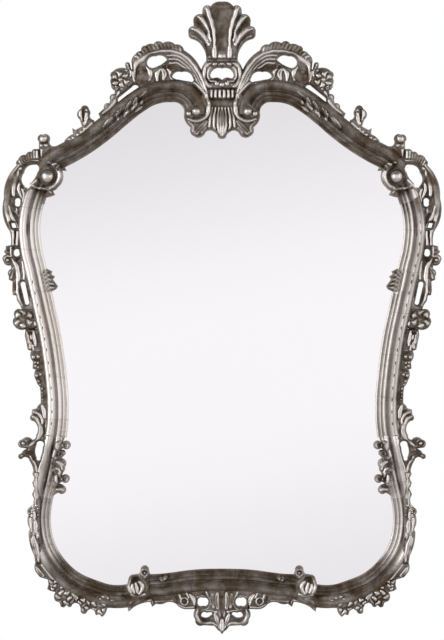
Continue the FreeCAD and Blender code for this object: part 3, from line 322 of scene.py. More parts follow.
CARVINGS["crest_scroll"] = dict(
    relief=26, round_px=3, toning=0.55, slot=True,
    edge=((131.5, 63), (131.8, 57.5, 135, 53.8), (137.8, 51, 141, 50.2), (141.4, 46.8, 145, 45),
        (150, 43, 153.5, 43.4), (157.5, 40.4, 162.5, 42.4), (169, 40.8, 175, 43.8),
        (180.5, 44.6, 184, 49.6), (193.5, 57, 200.5, 67.5), (206.5, 80, 209.6, 95),
        (211, 107, 206, 119.5), (203, 119.5), (204, 104), (190, 90), (160, 86), (146, 89),
        (136, 96), (133, 80)),
    holes=(
        ((147, 60.6), (150, 56.6, 155.5, 55.6), (163, 55.4, 166.8, 59.4), (161, 63.8, 155, 66.6),
            (150.5, 67, 147, 62.9)),
        ((172, 76.4), (175, 72, 181.5, 71.4), (189.5, 72.4, 192.7, 77.5), (193, 80.6, 190, 80.9),
            (176, 78.7)),
    ),
    ribs=(
        (4.5, (134.2, 78, 1.2), (134.2, 69, 1.8), (137.2, 62.6, 2.2), (142.6, 58.6, 2.5),
            (149, 54.6, 2), (157, 52, 1.7), (166, 50.8, 1.7), (176, 52, 1.8), (185, 56.2, 1.8),
            (193, 64, 1.7), (200, 75, 1.6), (205, 86.6, 1.4), (208, 98, 1.1), (207.6, 108, 1),
            (205.4, 117, 0.8)),
        (3.5, (167.4, 55.8, 1), (175.6, 55.4, 1.3), (184.2, 59.8, 1.4), (191.8, 67.4, 1.4),
            (198, 77.6, 1.2), (202.8, 88, 1.1), (205.8, 98, 0.9)),
        (3.5, (168.2, 59.4, 1), (176, 59.2, 1.2), (183.6, 63.4, 1.3), (190.2, 70, 1.2),
            (196, 79, 1.1), (200.6, 87, 1)),
        (3, (170, 63.2, 1.1), (177, 63, 1.2), (183.6, 67, 1.2), (190, 73.4, 1)),
        (5, (190.8, 80.8, 1), (196, 84, 1.5), (201, 88.8, 1.7), (205.4, 94.4, 1.4), (207.8, 99, 1)),
        (4, (147.4, 67.4, 1.6), (150.4, 73, 2.1), (149.6, 80, 1.4)),
        (4.5, (160.4, 69, 1.2), (156.8, 74.4, 2), (157.4, 80.6, 1.2)),
        (4, (166.8, 67, 1.1), (170, 72.6, 1.8), (172, 79, 1.2)),
        (2.5, (138.5, 90, 1.2), (147, 86.6, 1.2), (158, 83.8, 1.1), (169, 82.6, 1)),
    ),
    leaves=((4, (161.6, 67.6, 1.1), (164.4, 73.4, 2.2), (163.4, 79.6, 1.2)),),
    dips=(
        (4, (160, 66.6, 1.4), (168, 67.4, 1.7), (177, 67.8, 1.5), (186, 70.4, 1)),
        (4, (189.6, 84.6, 1.2), (196, 88.6, 1.3), (201, 94, 1.1), (203.6, 101, 1)),
    ),
    fans=(
        ("ribs", 3.4, 13, 1.5, 1.6,
            ((135.4, 60), (142, 54.4), (151, 50.4), (163, 48), (174, 49), (183.6, 53.6)),
            ((132.4, 58.4), (139.4, 49.8), (149, 44), (161, 41.8), (173, 42.8), (182.8, 48))),
    ),
    balls=((142.8, 76.2, 6.2, 4.5),),
    shades=((143, 77, 9, 0.75), (170, 67, 7, 0.5), (181, 69, 7, 0.45), (146, 49, 9, 0.3),
        (166, 45, 9, 0.3), (180, 48, 6, 0.25), (139, 88, 7, 0.6), (155, 84, 8, 0.4),
        (140, 60.6, 5, -0.45), (176, 56, 7, -0.35), (201, 88, 5, -0.5), (140.4, 71, 2.4, -0.7),
        (149.4, 73, 3, -0.6)),
)
CARVINGS["crest_flower"] = dict(
    relief=23, round_px=2.6, toning=0.6, slot=True,
    edge=((136, 70), (131, 68.5), (129.8, 63.6), (127, 61.4, 124.8, 63.2), (125.4, 67.6),
        (118, 67.4, 112.6, 70.6), (110, 73.5, 111, 77), (110, 81, 110.8, 84),
        (111.5, 87.5, 114.5, 90), (114, 93.5), (109.8, 95.2, 109.8, 99), (109, 102.6),
        (104.6, 103.6, 103.6, 107.8), (98, 113), (102, 122), (118, 112), (138, 97)),
    ribs=(
        (5.5, (119.4, 91.8, 1.2), (117.4, 97.4, 1.7), (113.6, 103.4, 1.8), (108.6, 108.6, 1.5),
            (103, 113.6, 1)),
        (3.5, (128.8, 66.6, 1), (131, 71.6, 1.2), (130.6, 76, 1)),
        (4, (133.6, 66, 1), (133.4, 75, 1.2), (134.6, 82, 1)),
        (3, (136, 91, 1.1), (128, 97, 1.1), (120.6, 103.4, 1.1)),
    ),
    leaves=((3.5, (113.6, 95.6, 1.5), (111.4, 101.4, 1.7), (106, 107, 1.4)),),
    flowers=((120.4, 79.4, 9.4, 6, 0.35), (115, 88, 3.6, 4, 0.2)),
    balls=((127.4, 64.8, 2.2, 2), (128.4, 80.6, 1.7, 3), (126, 86.6, 1.6, 3), (121.6, 88.8, 1.7, 3),
        (133, 79.6, 1.4, 2), (115.2, 74.6, 1.6, 3), (121, 72, 1.4, 3), (126.6, 70.6, 1.4, 3),
        (117, 83.6, 1.4, 3), (112.6, 84, 1.2, 2.5)),
    shades=((112, 79, 4, 0.4), (123, 76, 6, 0.25), (132, 87, 7, 0.5), (116, 101, 3, -0.4)),
)
CARVINGS["rail_leaf_spray"] = dict(
    on_moulding=True, relief=32, round_px=2, toning=0.55,
    edge=((147, 90), (144, 99), (143.4, 107), (136, 112.8), (130.5, 112, 124.6, 119), (119.5, 121),
        (112.5, 121, 104, 130), (101.4, 127.4), (107.5, 118.5, 117, 111.5), (130, 101.5),
        (140, 94)),
    ribs=(
        (2.5, (146, 92, 0.9), (138, 99.4, 1), (128, 106.8, 1), (117, 114.6, 0.9),
            (108, 121.4, 0.8)),
    ),
    leaves=(
        (7, (136.6, 98.4, 1.1), (134.8, 103.6, 2.1), (132.4, 109, 1.3)),
        (5, (141.6, 106.4, 1), (138.8, 108.8, 1.6), (135.6, 111.2, 1.1)),
        (4, (143, 98, 1), (141.4, 103, 1.3)),
        (5.5, (130.6, 101.8, 1), (128.4, 105.8, 1.5), (127.4, 109, 1)),
        (7, (127.4, 107, 1.1), (126.2, 112, 2), (124.8, 116.4, 1.3)),
        (5.5, (121.6, 106.8, 1), (119.4, 110.8, 1.6), (118, 114.4, 1.1)),
        (5.5, (116.8, 114.6, 1.1), (117.6, 118, 1.5), (117.2, 120.4, 1)),
        (4, (113.4, 112.6, 1), (110.6, 116, 1.3), (107.4, 119, 1)),
        (6.5, (112, 118.2, 1.1), (108.2, 122.4, 2), (104, 127.4, 1.3)),
    ),
    shades=((134.8, 103.6, 2.6, -0.8), (138.8, 108.8, 2, -0.7), (126.2, 112.4, 2.6, -0.8),
        (128.6, 105.6, 1.8, -0.5), (117.4, 118, 2, -0.7), (108.4, 122.2, 3, -0.5),
        (131, 107, 2, 0.5), (122, 112, 3, 0.5), (113, 116.4, 2, 0.4)),
)
CARVINGS["rail_bud"] = dict(
    relief=25, round_px=2.4, toning=0.55,
    edge=((81.5, 126), (79.3, 119), (77.2, 111.5, 80.4, 108.4), (84.6, 104.8, 88.6, 108.6),
        (90, 111.5, 89.4, 114.8), (90.4, 117.6, 93.5, 119.4), (96, 127), (84, 136), (72, 146),
        (60, 154), (57, 147), (63.5, 143.4), (64.3, 139.6), (68, 136), (72.6, 133.4), (71.8, 127.6),
        (75, 129.4)),
    ribs=(
        (3.5, (80.8, 110.6, 1.2), (80.4, 115.6, 1.5), (82, 120.6, 1.2)),
        (2, (92, 123, 1.2), (83, 131.8, 1.2), (72, 141.4, 1.2), (60, 150.4, 1)),
    ),
    leaves=(
        (4, (86.6, 113.6, 1.3), (86.2, 118, 1.9), (84.6, 124, 1.3)),
        (2.5, (76, 131, 1), (73, 129, 1.1)),
        (2.5, (70, 139.4, 1), (66.4, 139, 1.1)),
    ),
    dips=((3, (83.4, 109.6, 1), (83, 116, 1), (83.6, 121, 0.9)),),
    balls=((87, 110, 1.9, 2.5), (85, 128.8, 2, 3.5), (80.8, 131.4, 1.4, 2.5), (78, 134.8, 1.9, 3),
        (73.2, 138, 2, 3.5), (68.4, 143, 2, 3.5), (71.4, 134.8, 1.2, 2), (64.6, 145.4, 1.6, 3),
        (60.6, 147.8, 1.7, 3), (68, 138.6, 1.2, 2)),
    shades=((84, 108, 4, 0.5),),
)
CARVINGS["shoulder_scroll"] = dict(
    relief=26, round_px=3, toning=0.9,
    edge=((40, 148.5), (36, 148.6), (33, 148.8, 31, 151.4), (27.5, 151.6, 25.4, 154.4),
        (21, 155, 17.6, 159.4), (15.6, 162, 16.2, 165), (6.8, 178, 3.4, 198), (2.6, 216, 9.2, 231),
        (10.6, 238, 9.8, 247.6), (28, 247.6), (30, 200), (36, 190), (44, 165)),
    holes=(
        ((14.8, 202), (17.2, 197.8, 19.6, 202), (17.2, 206.2, 14.8, 202)),
        ((10.6, 223), (14.4, 222.8), (16, 227.4), (12, 227.6)),
        "shoulder_gap",
    ),
    ribs=(
        (4.5, (18.4, 165.4, 1.6), (11.6, 174.8, 2.7), (7, 187.6, 3.2), (5.8, 201, 3.1),
            (7.2, 213, 2.4), (10.4, 225, 1.6), (12, 232, 1.3)),
        (4, (21, 168, 1.3), (16.6, 177, 2), (13.8, 186.6, 2.2), (13.6, 195.4, 1.5)),
        (4, (20.6, 181, 1), (18.6, 187, 1.5), (19.6, 192.6, 1.5), (21.4, 198, 1.1)),
        (4, (8.6, 206, 1.2), (10.6, 214.4, 1.9), (14.6, 221.6, 1.8), (17.4, 227.4, 1.1)),
        (3.5, (13.2, 231, 1.3), (12.6, 237.6, 1.8), (12.8, 244.4, 1.4)),
        (4.5, (17.6, 231.6, 1), (17.2, 238, 1.3), (16.8, 246, 1.2)),
        (2.5, (18.8, 168.8, 1), (23.4, 163.8, 1), (30, 160.6, 1), (38, 160.6, 0.9)),
        (3, (22.6, 189.6, 1.2), (23.8, 196, 1.4), (23, 206, 1.3)),
    ),
    dips=(
        (4, (20.2, 171, 1.2), (20.4, 178.6, 1.4)),
        (4, (11.4, 196.6, 1.3), (12.2, 203, 1.3), (14.8, 209.6, 1.3)),
        (4.5, (14.4, 214.4, 1.5), (17.2, 219, 2), (19, 225, 1)),
        (4, (18.6, 207.4, 1.1), (18.8, 213, 1)),
        (3, (15.2, 230.6, 0.8), (15, 243, 0.8)),
    ),
    fans=(
        ("ribs", 4, 8, 1.3, 1.35, ((19, 166.4), (24, 161.2), (31, 158), (39.8, 157.4)),
            ((17, 161.2), (22, 155.8), (30, 151.4), (39.8, 149.4))),
    ),
    shades=((20, 177, 4, 0.7), (12, 199, 4, 0.5), (17, 217, 4, 0.6), (28, 161, 8, 0.4),
        (20, 187, 3, -0.4), (14, 188, 4, -0.4), (11, 217, 4, -0.5), (7, 186, 14, 0.4),
        (9, 216, 12, 0.35)),
)
CARVINGS["shoulder_volute"] = dict(
    on_moulding=True, relief=29, round_px=3, toning=0.6, back=FRAME_BACK,
    clearings=((50, 176.5, 9.5),),
    edge=((64.5, 166.5), (66, 170.4), (61.6, 170), (62.4, 179, 57.6, 186.6),
        (55.5, 189, 52.4, 190.4), (54.6, 194.6), (49.6, 196.4), (45.8, 197.2), (43.6, 204),
        (34, 202), (21.5, 193), (22, 187), (31, 178), (39, 165), (39.4, 157), (38.4, 148),
        (38.3, 141), (38, 135.4, 42.6, 134.2), (48, 134.6, 49.2, 140), (49.8, 144, 55, 145.6),
        (60, 146), (68, 152), (70, 164)),
    holes=("shoulder_gap",),
    ribs=(
        (5, (49, 163, 1.2), (55.6, 165, 1.9), (59.6, 171.4, 2.5), (60, 179, 2.5), (56.4, 185, 2.2),
            (49.4, 188.4, 1.8), (41, 188.4, 1.5), (34, 186.4, 1.1)),
        (2.5, (49.6, 191, 1.2), (52.2, 193.6, 1.1)),
        (2.5, (25.6, 188.6, 1.4), (31, 185.4, 1.6), (36.6, 180.6, 1.2)),
        (2, (41.2, 150.4, 1.4), (41, 158, 1.4)),
    ),
    dips=(
        (6, (50, 167.4, 1.1), (54.4, 171.4, 1.7), (55.2, 178, 1.8), (52, 183.2, 1.6),
            (45.4, 185.2, 1.2)),
        (3, (46, 190.6, 0.8), (38, 190, 0.8), (32, 188.8, 0.7)),
        (3, (39, 143.2, 0.9), (48.6, 143.4, 1)),
    ),
    balls=((47.4, 176.6, 6.2, 10), (43.6, 138.8, 4.2, 5), (41, 145.6, 1.9, 2.5),
        (46, 145.2, 2, 2.5)),
    shades=((44, 165, 8, 0.7), (45, 186, 7, 0.5), (54.6, 176, 3, 0.7), (43, 138, 5, 0.4),
        (60, 175, 3.4, -0.6), (38, 190, 5, 0.2)),
)
CARVINGS["side_leaf"] = dict(
    relief=24, round_px=2.4, toning=0.7,
    edge=((9.4, 245), (5.4, 245.8), (5, 249.4), (3.2, 251.2), (5.6, 254.4), (2, 257.4, 2.8, 261),
        (5, 264.6, 10, 265.2), (10.6, 268.6), (8, 270.6, 8.2, 276), (8.2, 279.6), (12, 281.4),
        (11.6, 290.6), (12.4, 295), (15.6, 295.6), (16.4, 300.4), (19.6, 305), (22, 311), (36, 311),
        (34, 296), (29, 274), (26, 260), (26, 245)),
    holes=(
        ((13.4, 252.4), (16.2, 248.9, 19.2, 252.4), (16.2, 256.2, 13.4, 252.4)),
        ((20.2, 285), (22.4, 281.6, 25, 284.6), (28.4, 301), (27.2, 304.6, 24.4, 302.6)),
    ),
    ribs=(
        (4.5, (11, 245.6, 1.1), (11.4, 253.6, 1.2), (14.2, 261, 1.7), (17, 268, 2), (18.2, 277, 2),
            (17.6, 287, 1.8), (18.4, 296, 1.5), (22, 305.6, 1.1)),
        (3.5, (10.6, 256.4, 1), (6.4, 255.8, 1.3), (3.9, 259.4, 1.3), (5.4, 263, 1.2),
            (9.6, 263.6, 1)),
        (2, (22.8, 262, 1.2), (24, 272, 1.2), (24, 279, 1)),
    ),
    leaves=(
        (3.5, (10, 248.6, 1.1), (6, 247, 1.5)),
        (3.5, (10.4, 252.6, 1.1), (5.4, 251.4, 1.5)),
        (3.5, (14.6, 267.6, 1.5), (11.4, 272.6, 2.4), (9.8, 278.8, 1.8)),
        (3.5, (16, 280, 1.2), (13.8, 285, 1.9), (13.2, 290, 1.3)),
        (3.5, (16.6, 290.6, 1.1), (13.6, 293.4, 1.4)),
        (3, (18.2, 297, 1.1), (18.4, 302, 1.3)),
    ),
    dips=(
        (5, (12.4, 257.4, 1), (16, 259.6, 1.8), (19.4, 258.4, 1.3)),
        (4, (12.4, 248.4, 1), (13.6, 247, 1)),
        (4, (19.4, 283, 0.9), (19.8, 292, 1), (22.4, 301.6, 1), (26, 305.6, 1)),
        (3, (26.6, 286, 0.7), (28.8, 296, 0.8), (29.4, 303.6, 0.8)),
    ),
    balls=((7.2, 260, 2.1, 3),),
    shades=((16, 259, 4.5, 0.8), (8, 249, 4.5, 0.5), (12, 273, 5, 0.2), (14, 286, 4, 0.3),
        (21, 305, 5, 0.4), (17.8, 275, 3, -0.4)),
)
CARVINGS["side_shell"] = dict(
    on_moulding=True, relief=24, round_px=1.8, toning=0.9,
    edge=((46, 268.4), (52, 271.2), (50.8, 274), (54.4, 276.4), (52.4, 279.4), (55.2, 283),
        (57.4, 286.2), (55.6, 289.2), (51, 291.4), (47, 294.4), (39, 289), (37, 272)),
    ribs=(
        (3, (43.4, 274, 0.9), (46.6, 270.8, 1.2), (50, 270.6, 1.1)),
        (3, (44, 277.6, 0.9), (48.6, 275, 1.3), (53, 275.8, 1.2)),
        (3, (44.8, 281.4, 0.9), (48.8, 279.2, 1.2), (52.4, 280.4, 1.1)),
        (3, (46, 285.4, 0.9), (50, 283, 1.3), (54.2, 284, 1.3)),
        (3, (46.8, 289.6, 0.9), (51, 287.4, 1.3), (55, 288, 1.2)),
    ),
    dips=(
        (2.5, (47, 273, 0.7), (50.6, 272.8, 0.8)),
        (2.5, (48, 277.2, 0.7), (52, 278, 0.8)),
        (3, (49, 281.4, 0.7), (53, 282.2, 0.8)),
        (3, (50, 285.4, 0.8), (55, 286.2, 0.8)),
    ),
)
CARVINGS["side_rose"] = dict(
    relief=25, round_px=2.8, toning=0.75,
    edge=((20, 309), (14, 311.4, 14.2, 317), (12.2, 321.5, 13.4, 325.2), (18.6, 329.6, 26, 328.8),
        (34, 329), (42, 324), (38, 309), (30, 307.6, 20, 309)),
    ribs=((3.5, (33.6, 321, 1), (36, 326, 1.2), (38.4, 331, 0.9)),),
    dips=((3, (31.8, 312, 1), (33.6, 318, 1)),),
    flowers=((23.4, 318.8, 10.6, 6, 0.55),),
    balls=((17.6, 313.4, 2, 2.5), (28.2, 323, 2.4, 2.5)),
    shades=((15, 320, 4, 0.4), (30, 312, 6, 0.4), (33, 324, 5, 0.4), (22, 311, 4, 0.3),
        (23.4, 319.4, 5, 0.5)),
)
CARVINGS["husk_drop"] = dict(
    relief=22, round_px=2.2, toning=0.6,
    edge=((25, 329), (24.2, 335.5), (27.2, 349.8), (30.6, 351), (29.6, 355.5, 31, 359.8),
        (32.4, 362), (32, 368.6), (35, 369.8), (33.6, 374.6, 35, 379.6), (36.8, 384), (39.2, 387),
        (40, 392), (40.4, 406.4), (52, 406.4), (50, 372), (46, 348), (40, 328.5)),
    ribs=((3.5, (30.6, 335.4, 0.9), (31.6, 338.8, 1.2)), (3, (32.8, 345, 0.9), (33.8, 350, 0.9))),
    leaves=(
        (4, (26, 331, 1.1), (27.4, 337.4, 1.8), (28.8, 343, 1.3)),
        (4.5, (33, 331.4, 1.1), (34.6, 339, 1.7), (35.6, 345.6, 1.1)),
        (3.5, (30, 342, 1), (30.6, 346.4, 1.4), (29.2, 350, 1)),
    ),
    dips=(
        (3.5, (28.6, 333, 1.1), (31.6, 332.6, 1)),
        (3, (31, 352.8, 1.1), (40, 352.6, 1.3)),
        (3, (33, 360.2, 0.7), (40, 360, 0.8)),
        (3.5, (34.6, 370.8, 1.1), (42, 370.6, 1.3)),
        (3, (36, 378.4, 0.7), (40, 378, 0.9)),
    ),
    balls=((33.5, 357, 2.3, 4), (38.4, 356.6, 2.1, 4), (34.6, 362.6, 1.6, 3), (38, 362.8, 1.5, 3),
        (35.6, 366, 1.6, 3), (38.4, 367, 1.3, 2.5), (36.5, 375.4, 2.1, 4), (40.6, 374.6, 1.7, 3),
        (38, 381.4, 2, 4), (40, 384.6, 1.3, 2.5), (41.8, 388.6, 1.7, 3.5), (42.2, 392.6, 1.3, 3),
        (42, 396, 1.5, 3), (42.6, 399.6, 1.2, 2.5)),
    # The shades down the stile's outer slope are the painted shadow of the husks
    shades=((42, 345, 4, 0.6), (43, 355, 4, 0.6), (43, 366, 4.5, 0.7), (43, 380, 4.5, 0.6),
        (42, 393, 5, 0.7), (41, 401, 4, 0.7), (29, 333, 3, 0.4)),
)
CARVINGS["waist_scroll"] = dict(
    relief=26, round_px=2.6, toning=0.6,
    edge=((40.4, 403), (37.6, 405.6), (36, 408.6), (31.6, 409.6), (31, 415),
        (29.4, 417.4, 33, 421.2), (37.4, 429, 35.6, 435.4), (34.4, 439, 31.6, 440),
        (26, 437.4, 21.6, 439.8), (17.6, 444.8, 22.6, 448.2), (27, 449.2), (23.2, 450.6, 20.6, 454),
        (17.8, 457.6, 21.4, 459.2), (26, 457.6, 29, 461), (31.6, 466, 33, 472), (34, 484),
        (46, 484), (54, 440), (52, 403)),
    holes=(
        ((40, 441.4), (42.6, 442.6, 42.4, 447), (41.4, 453.5, 39.8, 458.4), (37.8, 461, 36.2, 458),
            (34.6, 451, 36, 445.4), (37.8, 441.8, 40, 441.4)),
    ),
    ribs=(
        (3.5, (33.6, 411.8, 1.1), (38, 413.2, 1.5), (41.6, 418, 1.4), (42.4, 423.4, 1)),
        (3, (32.4, 416.2, 1.1), (36.6, 418.4, 1.6), (38.8, 424.4, 1.3)),
        (2.5, (39.4, 424, 1.8), (40, 431, 2.6), (38.2, 437.6, 2), (33.4, 442.8, 1.5),
            (28, 446.4, 1.2), (22.8, 446.4, 1)),
        (3.5, (25.6, 456.6, 1.1), (29.4, 460.4, 1.3), (32.4, 467, 1.4), (34.4, 476, 1.2)),
        (3.5, (30.6, 456.4, 1), (34.4, 462.6, 1.3), (36.8, 469.4, 1.4), (38, 478, 1.2)),
        (4, (45.6, 440, 0.9), (45.2, 449, 1.1), (43.2, 458, 1.3), (40.4, 466, 1.2), (38.8, 474, 1)),
    ),
    leaves=((4, (42.4, 405.4, 1.1), (43.8, 411, 1.9), (44.8, 417, 1.4)),),
    dips=(
        (4, (36.4, 409.6, 1), (40.4, 412, 1.2)),
        (2.5, (33, 414, 0.7), (37, 415.8, 0.8)),
        (3, (44.4, 423, 0.9), (44.2, 437, 1)),
        (4, (27.6, 443.2, 1.4), (32, 441, 1.2)),
        (4, (26.4, 452.6, 1.2), (31.4, 453.4, 1.6), (33.6, 459, 1)),
    ),
    rings=((23.6, 443.6, 3.8, 1.2, 3),),
    balls=((23.4, 443.4, 2.2, 4.5), (22, 455.8, 2.1, 4.5), (29, 449.4, 1.6, 1.5)),
    shades=((25, 443.4, 6, 0.9), (23.4, 455, 4.5, 0.8), (23.2, 443.2, 1.6, -0.7),
        (31, 453.4, 4, 0.7), (38, 463, 3, 0.7), (39, 411, 3.4, 0.5), (44, 430, 3, 0.3),
        (36, 442.6, 2.6, 0.3)),
)
CARVINGS["waist_volute"] = dict(
    on_moulding=True, relief=27, round_px=2.2, toning=0.4, back=FRAME_BACK,
    clearings=((60.5, 446.5, 4.6), (59.5, 464, 6), (60, 478.5, 5.4), (60, 488.5, 4)),
    edge=((46, 436), (65, 436), (62.5, 442.4), (70.3, 445.2, 62.6, 448.4), (60.6, 450.4),
        (64.6, 451.4, 63.6, 456), (61.2, 458.6), (65.4, 461.6, 64.8, 467), (64.4, 470.6),
        (62.4, 473.4), (61.6, 476.2), (69.3, 479, 61.8, 482), (58.4, 484.2),
        (62.8, 485.6, 65.6, 489), (64.6, 493, 58, 493.2), (55, 494.6), (50, 499), (35.5, 495),
        (37, 482), (40.4, 470), (43.8, 457), (45.8, 445)),
    ribs=(
        (3.5, (57.6, 435, 2.4), (56.6, 446, 2.6), (53, 456, 1.8)),
        (3, (60.8, 437.6, 1.1), (60, 443, 1.2)),
        (3.5, (60.6, 451.4, 1.1), (62.6, 453.8, 1.3), (60.4, 456.8, 1.2), (55.6, 457, 1)),
        (4, (52.6, 470.2, 1.3), (56.6, 469, 2), (59.4, 472.4, 1.7), (60.4, 476.4, 1.2)),
        (3, (55.4, 474, 1.4), (56, 480, 1.8), (54.6, 486, 1.4)),
        (3, (56.4, 484, 1), (60.2, 484.4, 1.2), (63.4, 483.2, 1)),
        (3.5, (56.8, 489.2, 1.1), (61.4, 489.2, 1.6), (63.4, 490.6, 1.1)),
    ),
    leaves=((3, (57.6, 461.8, 1.2), (61.6, 464.4, 1.8), (62.8, 469, 1.3)),),
    dips=(
        (3, (53, 459.6, 0.8), (58.4, 459.8, 0.9), (62, 458.6, 0.7)),
        (4.5, (52.6, 463.6, 1.3), (55.6, 465.6, 1.5)),
        (4, (58.4, 477.6, 1), (59.2, 481.6, 1.1)),
        (3.5, (55.2, 486.8, 0.8), (61, 486.8, 0.8)),
        (3, (56.4, 491.8, 0.7), (61, 492.2, 0.7)),
    ),
    rings=((65.2, 445.4, 2.8, 1.2, 3.5), (64.6, 479.1, 2.8, 1.2, 3.5)),
    balls=((65.8, 445.4, 1.5, 1.5), (65, 479.1, 1.6, 1.5)),
    shades=((54, 465, 4, 0.7), (57, 470, 4, -0.4), (63.6, 445.2, 2.2, 0.9), (62.8, 479, 2.2, 0.9),
        (58, 487, 3, 0.4), (49, 453, 8, 0.45), (47, 468, 8, 0.6), (44, 484, 8, 0.5),
        (67.4, 446.4, 1.2, -0.8), (66.8, 480, 1.2, -0.8)),
)
CARVINGS["lower_leaf"] = dict(
    relief=32, round_px=1.8, toning=0.45,
    edge=((33, 471), (31.9, 474.2), (34.2, 478.4), (31.7, 483.2), (34.2, 488.6), (31.5, 494.6),
        (33.6, 499.2), (32.6, 504.4), (29, 508), (26.8, 511, 28, 515), (27.2, 523, 29.6, 529.6),
        (28.2, 532), (29.6, 545, 33.8, 556), (34.8, 563), (41, 564), (42.5, 548), (40.4, 530),
        (40.4, 512), (41, 500), (39.5, 486), (40.5, 471)),
    ribs=(
        (3, (40, 482, 0.9), (39, 490, 1.2), (37.8, 498, 1.1)),
        (4.5, (34.6, 511.4, 1), (34.8, 516, 1.4), (34.8, 519.6, 0.9)),
        (2.5, (31, 518, 1.1), (31.2, 526, 1.3), (32, 531, 1)),
        (2.5, (31.8, 538, 0.9), (33.8, 548, 1.1), (36, 557.6, 1)),
    ),
    leaves=(
        (3.5, (37.6, 471, 1.1), (35.8, 480, 1.8), (36.4, 488, 1.6), (35.8, 496, 1.5),
            (35, 503.4, 1)),
        (3, (35.6, 473, 0.9), (33, 475.2, 1.1)),
        (3.5, (35.6, 520.4, 1.1), (35.8, 526, 1.9), (36.2, 532, 1.3)),
        (3, (37.8, 533, 1.1), (38, 537.6, 1.2)),
        (3.5, (33.4, 536, 1.2), (35.8, 545, 1.9), (37.8, 553, 1.7), (39.4, 561, 1.1)),
    ),
    dips=(
        (3, (32.6, 483, 1), (33.8, 488, 1)),
        (3, (32.4, 494.6, 1), (33.4, 498.6, 0.9)),
        (3, (30.4, 510.4, 0.8), (36, 509.8, 0.8)),
        (3.5, (30.4, 515.6, 1.2), (32.6, 515.2, 1)),
        (3, (38.8, 538, 0.9), (40, 546, 0.9)),
    ),
    balls=((30.8, 508.4, 1.6, 2.5), (36.4, 505.4, 1.8, 3), (38.4, 508.2, 1.4, 2.5),
        (32.4, 512, 1.6, 2.5), (38.4, 514.6, 1.5, 2.5), (29.6, 513, 1.2, 2), (34.6, 507, 1.2, 2)),
    shades=((33, 514, 4, 0.4), (34, 508, 4, 0.3), (33, 548, 3, 0.3), (35, 557, 3, 0.3),
        (38, 478, 3, 0.2)),
)
CARVINGS["corner_flower"] = dict(
    relief=27, round_px=2.6, toning=0.6,
    edge=((35, 563), (34, 569, 36, 573.4), (39.4, 577.8), (47.4, 580.2), (48, 585), (46.8, 589.6),
        (50, 591.6), (55, 592.8), (53.4, 597, 55.2, 601.6), (59.4, 603.4), (60.4, 607.4),
        (63.4, 608.2), (66.6, 605.6), (69.4, 607.8, 71.8, 605), (75, 603.4), (78.6, 604.8),
        (80.2, 608.4), (80.4, 612.4), (83.6, 614.6, 87, 611.6), (90.4, 609.4), (94, 611.4),
        (95.6, 616), (98.8, 615), (101.8, 617.6), (105.6, 613.4, 106.8, 608.8), (110, 608.6),
        (113.4, 606.4), (118, 606.8), (126.6, 605.2), (126.6, 596), (112, 594), (96, 592),
        (86, 594), (72, 585), (60, 574), (48, 560)),
    ribs=(
        (2.5, (42, 565, 1.2), (49, 574, 1.3), (57, 583, 1.2)),
        (2.5, (86, 597, 1.1), (94, 597.6, 1.3), (103, 597, 1.2)),
    ),
    leaves=(
        (4, (36.4, 567, 1.1), (38.6, 571, 2), (43, 575.6, 1.4)),
        (3, (38, 575.6, 1), (42.6, 577.6, 1.3), (47, 578.6, 1)),
        (3, (50, 589.8, 1), (54, 590, 1.3)),
        (3.5, (70, 592.6, 1.1), (76, 597.4, 1.7), (78.4, 602, 1.2)),
        (3.5, (73.6, 599, 1.1), (70.8, 604.4, 1.3)),
        (3.5, (106.4, 601.4, 1.1), (110, 604.6, 1.5), (114, 605, 1)),
        (3.5, (112, 600.6, 1.1), (117, 603, 1.5), (123.4, 603.6, 1)),
    ),
    flowers=((52.4, 584.8, 5.8, 5, 0.4), (63.6, 597.4, 9, 6, 0.1), (84, 604.6, 7.6, 5, 0.9),
        (99.4, 606.4, 9.4, 6, 0.5)),
    balls=((61.6, 587.6, 1.8, 2.5), (64.1, 590.6, 1.3, 2), (57.8, 591.6, 1.6, 2),
        (61.4, 597.2, 1.4, 3), (67, 596.8, 1.4, 3), (70.6, 594.8, 1.2, 2.5), (68.4, 601.6, 1.4, 3),
        (62.6, 604.4, 1.4, 3), (80.4, 603, 1.3, 3), (84.2, 601.8, 1.3, 3), (81, 608.4, 1.3, 3),
        (86.2, 607.8, 1.3, 2.5), (90.8, 601.6, 1.6, 2.5), (90.6, 607.4, 1.3, 2),
        (93.6, 603.9, 1.3, 3), (97.8, 603.2, 1.4, 3), (101.6, 601.2, 1.3, 3), (96.4, 609.6, 1.4, 3),
        (100.8, 610.2, 1.3, 3), (104.6, 604.8, 1.4, 3), (108, 598, 1.4, 2), (114, 599, 1.3, 2)),
    shades=((40, 576, 5, 0.4), (48, 588, 4, 0.4), (60, 603, 5, 0.3), (74, 602, 5, 0.4),
        (90, 604, 4, 0.4), (116, 598, 8, 0.6), (92, 595, 8, 0.5), (60, 582, 7, 0.4),
        (63.6, 597.4, 3.6, 0.5), (99.4, 606.4, 3.6, 0.5), (84, 604.6, 3, 0.4)),
)
